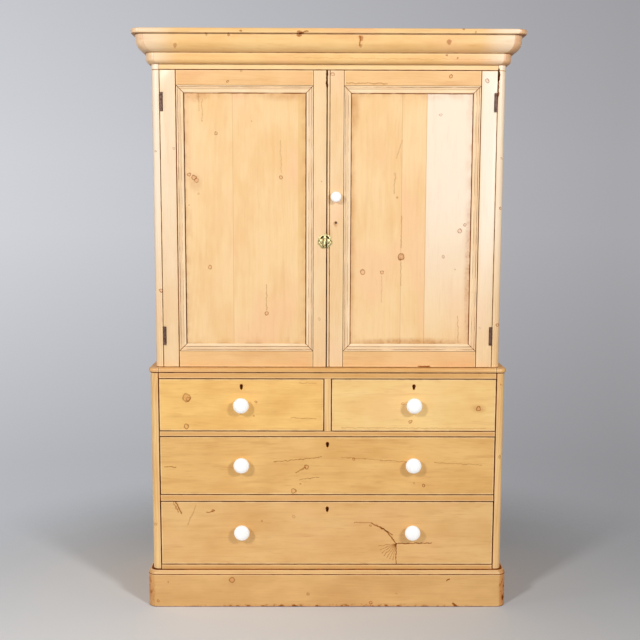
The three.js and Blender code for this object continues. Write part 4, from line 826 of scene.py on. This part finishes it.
# %% [markdown]
# ## Mouldings that run round the case
# The cornice, the waist board and the plinth follow the front and both ends of the case and turn
# two rounded corners. Each is a profile carried along that path. The profile is a list of
# (projection, height) pairs, and a path is worked out for every pair at once, so the corner stays
# round at any projection.

# %% A profile carried round the front
BACK, CORNER_RADIUS, CORNER_STEPS = 0.27, 0.032, 14
CUPBOARD_PLAN, CHEST_PLAN = (0.6075, CUPBOARD_FACE, 0.018), (0.6265, CHEST_FACE, 0.02)
GAP = 0.0003


def round_front(out, half, front, edge):
    """Plan of the path at each projection: up one end, round two quarter circles, down the other.

    A corner's middle lies one radius inside the projected edges; its points are middle plus
    radius times (cosine, sine) from 180 to 270 degrees on the left, 270 to 360 on the right.
    """
    radius = np.minimum(CORNER_RADIUS, edge + np.maximum(out, 0))
    turn = np.linspace(np.pi, 1.5 * np.pi, CORNER_STEPS + 1)[:, None]
    left = np.stack([-half - out + radius + radius * np.cos(turn),
                     front - out + radius + radius * np.sin(turn)], axis=-1)
    ends = np.stack([half + out, np.full_like(out, BACK)], axis=-1)[None]
    return np.concatenate([ends * (-1, 1), left, left[::-1] * (-1, 1), ends])


def moulding(name, profile, plan, finish, node, board=False):
    """A closed profile of (projection, height) swept round the front and capped at the back. The
    profile of a board is open: it is the edge, and flat faces close it below and above."""
    out, height = np.array(profile).T
    path = round_front(out, *plan)
    grid = np.dstack([path, np.broadcast_to(height, path.shape[:2])])
    if board:
        grid = grid.transpose(1, 0, 2)
    finished(name, skin(name, grid, join_columns=True, cap_rows=True), finish, node, 30)


def heights(node):
    """The foot and the head of a node."""
    return [corner.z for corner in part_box(node)]

# %% [markdown]
# ### The cornice
# From the frieze up: a bed moulding with a hollow foot, the large ovolo that swells outwards, and
# a cap board with a small rounded lip. Where the CAD profile turns in six flats, these turn in
# twelve or more, and the light slides over them.

# %% Build the cornice
low, high = heights("bed_moulding")
bed = np.vstack([[GAP, high], [GAP, low], quarter((0.003, low + 0.014), 0.014, -90, 0),
                 [0.017, high - 0.0008], [0.0162, high]])
moulding("bed_profile", bed, CUPBOARD_PLAN, cornice_pine, "bed_moulding")

low, high = heights("cornice_moulding")
ovolo = np.vstack([[-0.02, low], quarter((0.014, low + 0.036), (0.032, 0.036), -90, 0, 18),
                   [0.0475, high], [-0.02, high]])
moulding("ovolo_profile", ovolo, CUPBOARD_PLAN, cornice_pine, "cornice_moulding")

low, high = heights("cornice_cap")
lip = np.vstack([quarter((0.056, low + 0.004), 0.004, -90, 0, 6),
                 quarter((0.056, high - 0.004), 0.004, 0, 90, 6)])
moulding("cap_board", lip, CUPBOARD_PLAN, cornice_pine, "cornice_cap", board=True)
print("cornice profiles", len(bed), len(ovolo), len(lip))

# %% [markdown]
# ### The waist board and the plinth
# The waist board covers the chest with an edge that rounds over, worn where things were pushed
# across it. The plinth is three mitred boards with a quarter-round top edge, standing out all
# round, and a rail closes it at the back.

# %% Build the waist board and the plinth
low, high = heights("waist_board")
belly = low + 0.005
nose = np.vstack([quarter((0, belly), (0.0055, 0.005), -90, 0, 8)[:-1],
                  quarter((0, belly), (0.0055, high - belly), 0, 90, 10)])
moulding("waist_edge", nose, CHEST_PLAN, rail_pine, "waist_board", board=True)

INNER, SKIRT_TOP = -0.0075, 0.1177
top = heights("plinth")[1]
skirt = np.vstack([[INNER, 0.0], [0.0165, 0.0], [0.0175, 0.001], [0.0175, SKIRT_TOP],
                   quarter((0.003, SKIRT_TOP + 0.003), (0.0145, top - SKIRT_TOP - 0.003), 0, 90),
                   [GAP, top], [GAP, SKIRT_TOP], [INNER, SKIRT_TOP]])
moulding("plinth_skirt", skirt, CHEST_PLAN, plinth_pine, "plinth")

rail = [(0.245, 0.0), (BACK, 0.0), (BACK, SKIRT_TOP), (0.245, SKIRT_TOP)]
rail = pushed("plinth_back_rail", rail, (-0.624, 0.624))
finished("plinth_back_rail", rail, rail_pine, "plinth")
print("plinth top", round(top, 4))

# %% [markdown]
# ### The mouldings round the door panels
# Four lengths, mitred at the corners, lie on each panel against the stiles and rails. From the
# outside in: a small bead behind a fine gap, a hollow, and a swelling edge that drops to the
# panel. The profile is a list of (inset, height) pairs, smoothed, and the path is the rectangle
# of the opening, which every point of the profile follows at its own inset.

# %% Build the panel mouldings
OPENING_FOOT, OPENING_HEAD, DOOR_MIDDLE = 0.9255, 1.845, 1.4
bead = quarter((0.0028, 0.0072), 0.0024, 180, 0, 8)
cove = flowing([(0.0056, 0.0052), (0.0086, 0.0068), (0.0126, 0.0046), (0.0156, 0.0036)], 5)
swell = flowing([(0.0158, 0.0046), (0.0196, 0.0049), (0.0236, 0.0036), (0.0262, 0.0014), (0.0268, GAP)], 5)
section = np.vstack([[0.0004, GAP], bead, cove, swell])


def panel_moulding(name, opening, finish, node):
    """The section at each corner of the opening, shifted inwards by its inset both ways."""
    x0, x1, z0, z1 = opening
    inset, height = section.T
    corner_x = np.stack([x0 + inset, x1 - inset, x1 - inset, x0 + inset])
    corner_z = np.stack([z0 + inset, z0 + inset, z1 - inset, z1 - inset])
    grid = np.stack([corner_x, np.broadcast_to(PANEL_FACE - height, corner_x.shape), corner_z], axis=2)
    finished(name, skin(name, grid, join_rows=True, join_columns=True), finish, node, 32)


def framed_pine(name, opening, shift, inner):
    """Pine whose grain follows each length of the frame: a mix of two, chosen by the mitre line.

    The dark lines lie along the outer edge, behind the bead, in the quirk and at the inner
    edge, where inner is their strength beside the panel. They are partly joints and partly
    painted shade in the creases: the quirk line is stronger on the lower rail, the inner line on
    the top rail. The soft band over the hollow is painted shade too.
    """
    f = Finish(name)
    place = f.place()
    x, _, z = f.split(place)
    from_side, from_end = insets(x, z, opening)
    upright, edge = from_side < from_end, from_side.least(from_end)
    lying = 1 - upright
    run_up = f.noise(place, drawn_out("z", 420, 5), (shift, 0, 0), 3)
    run_over = f.noise(place, drawn_out("x", 420, 5), (0, shift, 0), 3)
    fibre = upright * run_up + lying * run_over
    drift = f.noise(place, 12, (0, shift, 0), 3)
    amount = (fibre - 0.5) * 0.9 + drift.rise(0.3, 0.7) * 0.4
    colour = f.blend(amount, tone(255, 226, 184), tone(244, 202, 148))
    patchy = f.noise(place, 18, (shift, shift, 1), 3).rise(0.35, 0.6)
    # Painted shade: a soft band over the hollow, and dark lines in the creases that are partly joints
    soft = edge.rise(0.0068, 0.0095) * edge.rise(0.0155, 0.0125) * 0.2
    hard = edge.rise(0.0014, 0.0004) * (patchy * 0.3 + 0.65)
    hard = hard + abs(edge - 0.0056).rise(0.0013, 0.0002) * patchy * 0.3
    quirk = patchy * 0.3 * upright + lying * (z < DOOR_MIDDLE) * (patchy * 0.3 + 0.3)
    foot = upright * (patchy * 0.25 + inner) + lying * (z > DOOR_MIDDLE) * (patchy * 0.4 + 0.15)
    hard = hard + abs(edge - 0.0157).rise(0.0014, 0.0002) * quirk + edge.rise(0.0232, 0.0254) * foot
    hard = hard + abs(from_side - from_end).rise(0.0022, 0.0005) * 0.55
    rough = fibre * 0.12 + 0.32 + hard * 0.6
    return waxed(f, darkened(f, colour, soft, hard), rough, (fibre - 0.5) * 0.4 - hard, 0.8 - hard * 2.5)


for side, x0, x1, shift, inner in (("left", -0.523, -0.052, 3.3, 0.95), ("right", 0.053, 0.523, 7.1, 0.5)):
    opening = (x0, x1, OPENING_FOOT, OPENING_HEAD)
    frame_pine = framed_pine(side + "_moulding_pine", opening, shift, inner)
    panel_moulding(side + "_panel_frame", opening, frame_pine, side + "_door_moulding")
print("moulding section points", len(section))

# %% [markdown]
# ### The beaded meeting stile
# The right door's inner stile carries a bead along its edge: a half-round with a narrow quirk
# beside it, which hides the gap between the doors. Its section is drawn in plan and pushed up the
# height of the door, with enough points for a round bead.

# %% Build the beaded stile
BEAD_RADIUS = 0.00375
left, right, low, high = face_of("right_door_meeting_stile")
steps = [(0, 0.022), (0.0078, 0.0036), (0.0088, 0.0034), (0.0091, 0.0007), (0.0098, 0)]
back_corner, *quirk = np.array(steps) + (left, CUPBOARD_FACE)
half_round = quarter((left + BEAD_RADIUS, CUPBOARD_FACE + BEAD_RADIUS), BEAD_RADIUS, 180, 360)
plan = np.vstack([back_corner, half_round, quirk, [right - 0.0005, CUPBOARD_FACE],
                  [right, CUPBOARD_FACE + 0.0006], [right, CUPBOARD_FACE + 0.022]])
stile = pushed("beaded_stile", plan, (low, high), upright=True)
finished("beaded_stile", stile, upright_pine, "right_door_meeting_stile", 30)
print("stile width", round(right - left, 4))

# %% [markdown]
# ## The knobs
# Each knob is glazed ware turned on a wheel: a small collar against the wood, a neck, and a wide
# flattened head. A lathe shape is a profile of (radius, length) pairs turned round an axis. The
# profile is smoothed by the same curve as the mouldings and turned round the way that the knob
# points, towards the room.

# %% Turn the knobs
KNOB_PROFILE = [(0.52, 0.0), (0.57, 0.05), (0.53, 0.12), (0.42, 0.22), (0.41, 0.33), (0.6, 0.42),
                (0.86, 0.49), (0.99, 0.6), (0.985, 0.72), (0.86, 0.86), (0.6, 0.955), (0.3, 0.993),
                (0.0, 1.0)]
SHANK_DEPTH = 0.022


def ceramic_knob(node, face, shank):
    """A knob of the size of its CAD node, with its shank let into the wood."""
    low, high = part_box(node)
    radius, length = (high.x - low.x) / 2, face - low.y
    head = flowing(KNOB_PROFILE, 5) * (radius, length - GAP) + (0, GAP)
    profile = np.vstack([(0, -SHANK_DEPTH), (shank, -SHANK_DEPTH), (shank, GAP), head]) * (1, -1)
    middle = ((low.x + high.x) / 2, face, (low.z + high.z) / 2)
    finished(node + "_glaze", turned(node + "_glaze", profile, middle, "y", 56), white_glaze, node, 50)


drawer_knobs = [node for node in body_of if "drawer_knob" in node]
for node in drawer_knobs:
    ceramic_knob(node, CHEST_FACE, 0.0045)
ceramic_knob("door_knob", CUPBOARD_FACE, 0.0032)
print("knobs", len(drawer_knobs) + 1)

# %% [markdown]
# ## The brass catch
# An ornate cast rosette sits over the gap between the doors: a disc with a scalloped rim, two
# eyes under an arch, and a stem between leaves. The eyes of the casting are pierced; here they
# are dented and painted near black, painted shade of the openings. It could be carved in sculpt
# mode, but a height over a grid of radius and angle keeps every lobe alike: a dome, lines that
# are raised and lines that are sunk. A plane then divides it at the gap, one share for each door.

# %% The relief of the rosette
ROSE_X, ROSE_Z, ROSE_RADIUS, ROSE_THICK = -0.0115, 1.313, 0.0275, 0.0036
ROSE_LINES = {
    "eyes": [(6.4, 16.6, 12.5, 11.6, 2.7)],
    "arch": [(0, 21.5, 9, 20, 1.7), (9, 20, 17.5, 11, 1.7)],
    "stem": [(0, 19, 0, 2, 2.6)],
    "leaves": [(11, 4, 17, -3, 3.2), (8, -14, 13, -11, 2.4)],
    "grooves": [(5.6, 9, 6.6, -3, 1.3), (6.6, -3, 3.6, -15, 1.5), (20, 3, 12, -8, 1.2),
                (12, -8, 4, -20, 1.2)],
    "bores": [(23.2, 0, 23.2, 0.1, 1.3)],
}


def line_glow(x, z, x0, z0, x1, z1, width):
    """1 on the line from (x0, z0) to (x1, z1), falling as exp(-(distance / width) squared)."""
    run = np.array([x1 - x0, z1 - z0])
    along = np.clip(((x - x0) * run[0] + (z - z0) * run[1]) / run.dot(run), 0, 1)
    return np.exp(-((x - x0 - along * run[0])**2 + (z - z0 - along * run[1])**2) / width**2)


def rosette_grid(rings=44, sides=196):
    """The front of the casting as a grid, and how hollow it is.

    The rim lies at the radius times (1 - 0.05 (1 - cos 7a)). Both halves are alike, so the
    lines are drawn on the size of x, in millimetres from the middle. Height is a dome plus the
    raised arch, stem and leaves, less the eyes, the grooves and the channel by the rim. The eyes
    are dented, not pierced; their hollow value turns them near black in the brass, painted shade
    of the openings.
    """
    share = np.linspace(0, 1, rings)[:, None]
    angle = np.linspace(0, 2 * np.pi, sides, endpoint=False)[None, :]
    reach = ROSE_RADIUS * (1 - 0.05 * (1 - np.cos(7 * angle)))
    x, z = share * reach * np.sin(angle), share * reach * np.cos(angle)
    side, tall = np.abs(x) * 1000, z * 1000
    eyes, arch, stem, leaves, grooves, bores = (
        sum(line_glow(side, tall, *line) for line in lines) for lines in ROSE_LINES.values())
    channel = np.exp(-((share - 0.86) / 0.03) ** 2) * np.clip(0.6 - tall / 50, 0.25, 1)
    relief = 0.62 * (1 - 0.55 * share**2) + 0.2 * arch + 0.16 * stem + 0.16 * leaves
    relief = relief - 0.5 * eyes - 0.3 * grooves - 0.25 * channel - 0.3 * bores
    relief = np.clip(relief, 0.1, 1) * (1 - np.clip((share - 0.96) / 0.04, 0, 1) * 0.75)
    hollow = 0.26 + 1.6 * eyes + 0.95 * grooves + 0.8 * channel + bores - 0.4 * (arch + stem + leaves)
    grid = np.stack([ROSE_X + x, CUPBOARD_FACE - GAP - ROSE_THICK * relief, ROSE_Z + z], axis=2)
    return grid, np.clip(hollow, 0, 1)

# %% Divide the rosette between the doors
def rosette_share(name, cut, node):
    """The rosette with a flat back, less what lies on the cut side of an upright plane."""
    front, hollow = rosette_grid()
    back = front[-1:].copy()
    back[..., 1] = CUPBOARD_FACE - GAP
    mesh = skin(name, np.concatenate([front, back]), join_columns=True, cap_rows=True,
                hollow=np.concatenate([hollow, hollow[-1:]]).ravel(), cut=cut)
    return finished(name, mesh, aged_brass, node, 40)


plate = rosette_share("rosette_plate", (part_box("left_door_meeting_stile")[1].x - GAP, 1), "catch_plate")
keeper = rosette_share("rosette_keeper", (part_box("catch_keeper")[0].x, -1), "catch_keeper")
print("rosette faces", len(plate.data.polygons), len(keeper.data.polygons))

# %% [markdown]
# ### The drop handle
# A pear-shaped drop hangs in front of the rosette from a pin between two ears. The drop is a
# lathe shape about an upright axis, with an eye at the top turned about the pin's own axis. The
# ears stand on the plate, so they ride with the left door, and the drop rides on its own body.

# %% Build the drop and its ears
DROP_X, DROP_Y, DROP_TOP, DROP_LENGTH, DROP_RADIUS = -0.0132, -0.2184, 1.323, 0.027, 0.0036
PEAR = [(0, 0), (0.42, 0.03), (0.4, 0.2), (0.52, 0.34), (0.82, 0.54), (1, 0.74), (0.8, 0.91),
        (0.35, 0.985), (0, 1)]
EYE = [(0, -0.0017), (0.0016, -0.0017), (0.002, -0.0012), (0.002, 0.0012), (0.0016, 0.0017), (0, 0.0017)]
PIN = [(0, -0.0036), (0.0008, -0.0034), (0.0008, 0.0034), (0, 0.0036)]

for name, profile, axis, sides, hollow, angle in (
        ("drop_handle", flowing(PEAR, 5) * (DROP_RADIUS, -DROP_LENGTH), "z", 32, 0.15, 50),
        ("drop_eye", EYE, "x", 32, 0.3, 30), ("drop_pin", PIN, "x", 16, 0.4, 30)):
    mesh = turned(name, profile, (DROP_X, DROP_Y, DROP_TOP), axis, sides, hollow)
    finished(name, mesh, aged_brass, "catch_drop", angle)

ear_root = CUPBOARD_FACE - 0.0015
ear_loop = np.vstack([[ear_root, -0.0026], quarter((DROP_Y + 0.0002, 0), (0.0021, 0.0022), 270, 90),
                      [ear_root, 0.0026]]) + (0, DROP_TOP)
for hand, label in ((-1, "left"), (1, "right")):
    ends = DROP_X + hand * np.array([0.002, 0.0034])
    ear = pushed("ear_" + label, ear_loop, ends, hollow=0.4)
    finished("ear_" + label, ear, aged_brass, "catch_plate", 30)
print("drop length", DROP_LENGTH)

# %% [markdown]
# ## Hinges and lock
# The butt hinges and the lock keep their CAD shape, with the edges eased a little, and take the
# browned iron.

# %% Ease the ironwork
ironwork = [node for node, slot in slot_of.items() if slot == "iron"]
for node in ironwork:
    planed(node, iron_finish, 0.00025)
print("iron pieces", len(ironwork))

# %% [markdown]
# ### Hinge screws
# Three countersunk screws hold each leaf. Only their heads show, and only with the door open. A
# head is a height over a small disc: a low dome less a slot, with a flat back behind it. Each
# slot stands at its own angle, as a hand leaves it.

# %% Drive the hinge screws
SCREW_RADIUS, SCREW_DOME, SLOT_HALF, SLOT_DEPTH = 0.0033, 0.00028, 0.00045, 0.0004
SCREW_ROWS, SCREW_Y, SCREW_BACK = (-0.022, 0.0, 0.022), -0.2, 0.0004
LEAF_THICK, DOOR_LEAF_FACE = 0.0016, 0.5778


def screw_head(name, x, facing, z, turn, node):
    """A dome of height (1 - share^4) less exp(-(distance across the slot / half width)^4)."""
    share = np.linspace(0, 1, 14)[:, None]
    angle = np.linspace(0, 2 * np.pi, 40, endpoint=False)
    over, above = share * SCREW_RADIUS * np.cos(angle), share * SCREW_RADIUS * np.sin(angle)
    across = over * np.cos(turn) + above * np.sin(turn)
    rise = SCREW_DOME * (1 - share**4) - SLOT_DEPTH * np.exp(-(across / SLOT_HALF)**4) * (1 - share**8)
    front = np.stack([x + facing * rise, SCREW_Y + over, z + above], axis=2)
    back = front[[-1, 0]].copy()
    back[..., 0] = x - facing * SCREW_BACK
    finished(name, skin(name, np.concatenate([front, back]), join_columns=True), iron_finish, node, 40)


slots = np.random.default_rng(12)
leaves = [node for node in ironwork if "hinge" in node]
for node in leaves:
    low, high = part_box(node)
    hand = -1 if "left" in node else 1
    if "case" in node:
        x, facing = (max(abs(low.x), abs(high.x)) - LEAF_THICK) * hand, -hand
    else:
        x, facing = DOOR_LEAF_FACE * hand, hand
    for number, height in enumerate(SCREW_ROWS, 1):
        z = (low.z + high.z) / 2 + height
        screw_head(f"{node}_screw_{number}", x, facing, z, slots.uniform(0, np.pi), node)
print("screws", len(leaves) * len(SCREW_ROWS))

# %% [markdown]
# ## The room
# The press stands on a pale floor, a wide disc that fades out at its rim, so that the same soft
# grey background shows from every side; the floor is painted darker towards the right, painted
# shade. The background, painted darker to the right and above and below the horizon, also
# painted shade, is drawn for the camera and for reflections only, and a dimmer even light
# reaches everything else. Two strong lamps in front, left and right above the doors, give each
# knob its two soft shadows. Two weak wide ones fill the front, and two more stand for windows at
# the sides.

# %% Floor and background
RIM_STEPS = 96


def floor_finish():
    """Pale grey that turns transparent towards the rim, by the distance from the middle, and is
    painted darker towards the right: painted shade.
    """
    f = Finish("floor_grey")
    place = f.place()
    far = f.vector("DISTANCE", place, (0, -0.35, 0))
    # Darker towards the right, where less lamp light falls: painted shade
    amount = f.split(place)[0].rise(-1.3, 1.2) * 0.9 + f.noise(place, 1.5) * 0.1
    colour = f.blend(amount, tone(239, 240, 242), tone(201, 202, 204))
    return f.shade(Base_Color=colour, Roughness=0.9, Alpha=far.rise(2.0, 1.0))


round_rim = np.linspace(0, 2 * np.pi, RIM_STEPS, endpoint=False)
reach = np.array([0.0, 1.0, 2.0, 3.0, 4.2])[:, None]
disc = [reach * np.cos(round_rim), reach * np.sin(round_rim), np.full((5, RIM_STEPS), -0.0004)]
floor = added("floor", skin("floor", np.stack(disc, axis=2), join_columns=True))
floor.data.materials.append(floor_finish())

room = Finish("room", bpy.data.worlds)
bpy.context.scene.world = room.owner
room.tree.nodes.clear()
x, _, z = room.split(room.node("ShaderNodeTexCoord", output="Generated"))
# The backdrop is painted darker to the right, towards the floor and slightly high up: painted shade
backdrop = room.blend(x.rise(-0.32, 0.3, "LINEAR"), tone(209, 211, 217), tone(168, 167, 171))
level = (z.rise(-0.25, -0.025, "LINEAR") * 0.26 + 0.74) * (1 - z.rise(0.05, 0.25, "LINEAR") * 0.13)
seen = room.node("ShaderNodeBackground", None, {"Color": room.blend(1.0, backdrop, level, "MULTIPLY")})
even = room.node("ShaderNodeBackground", None, {"Color": (1.0, 0.98, 0.95, 1.0), "Strength": 0.14})
to_camera = room.node("ShaderNodeLightPath", output="Is Camera Ray")
glossy = room.node("ShaderNodeLightPath", output="Is Glossy Ray")
mixed = room.node("ShaderNodeMixShader", None, {0: to_camera.most(glossy), 1: even, 2: seen})
room.node("ShaderNodeOutputWorld", None, {"Surface": mixed})
print("floor points", len(floor.data.vertices))

# %% Lamps
def soft_lamp(name, place, aim, size, watts, tall=None):
    """An area lamp at place that faces aim, square unless it has a height of its own."""
    lamp = added(name, bpy.data.lights.new(name, "AREA"))
    lamp.data.shape, lamp.data.energy = "RECTANGLE", watts
    lamp.data.size, lamp.data.size_y = size, tall or size
    back = np.array(place, float) - aim
    back /= np.linalg.norm(back)
    side = np.cross((0, 0, 1), back)
    side /= np.linalg.norm(side)
    stand(lamp, place, side, np.cross(back, side), back)


soft_lamp("left_lamp", (-2.6, -3.9, 3.0), (0, -0.2, 1.0), 0.6, 102)
soft_lamp("right_lamp", (2.6, -3.9, 3.0), (0, -0.2, 1.0), 0.6, 101)
soft_lamp("left_glow", (-1.3, -3.3, 1.8), (-0.2, -0.2, 1.2), 1.0, 3)
soft_lamp("right_glow", (1.3, -3.3, 1.8), (0.2, -0.2, 1.2), 1.0, 8)
soft_lamp("left_window", (-3.4, -1.3, 1.5), (-0.6, -0.2, 1.3), 0.3, 15, 2.4)
soft_lamp("right_window", (3.6, -1.5, 2.0), (0.6, -0.2, 1.4), 0.8, 5)
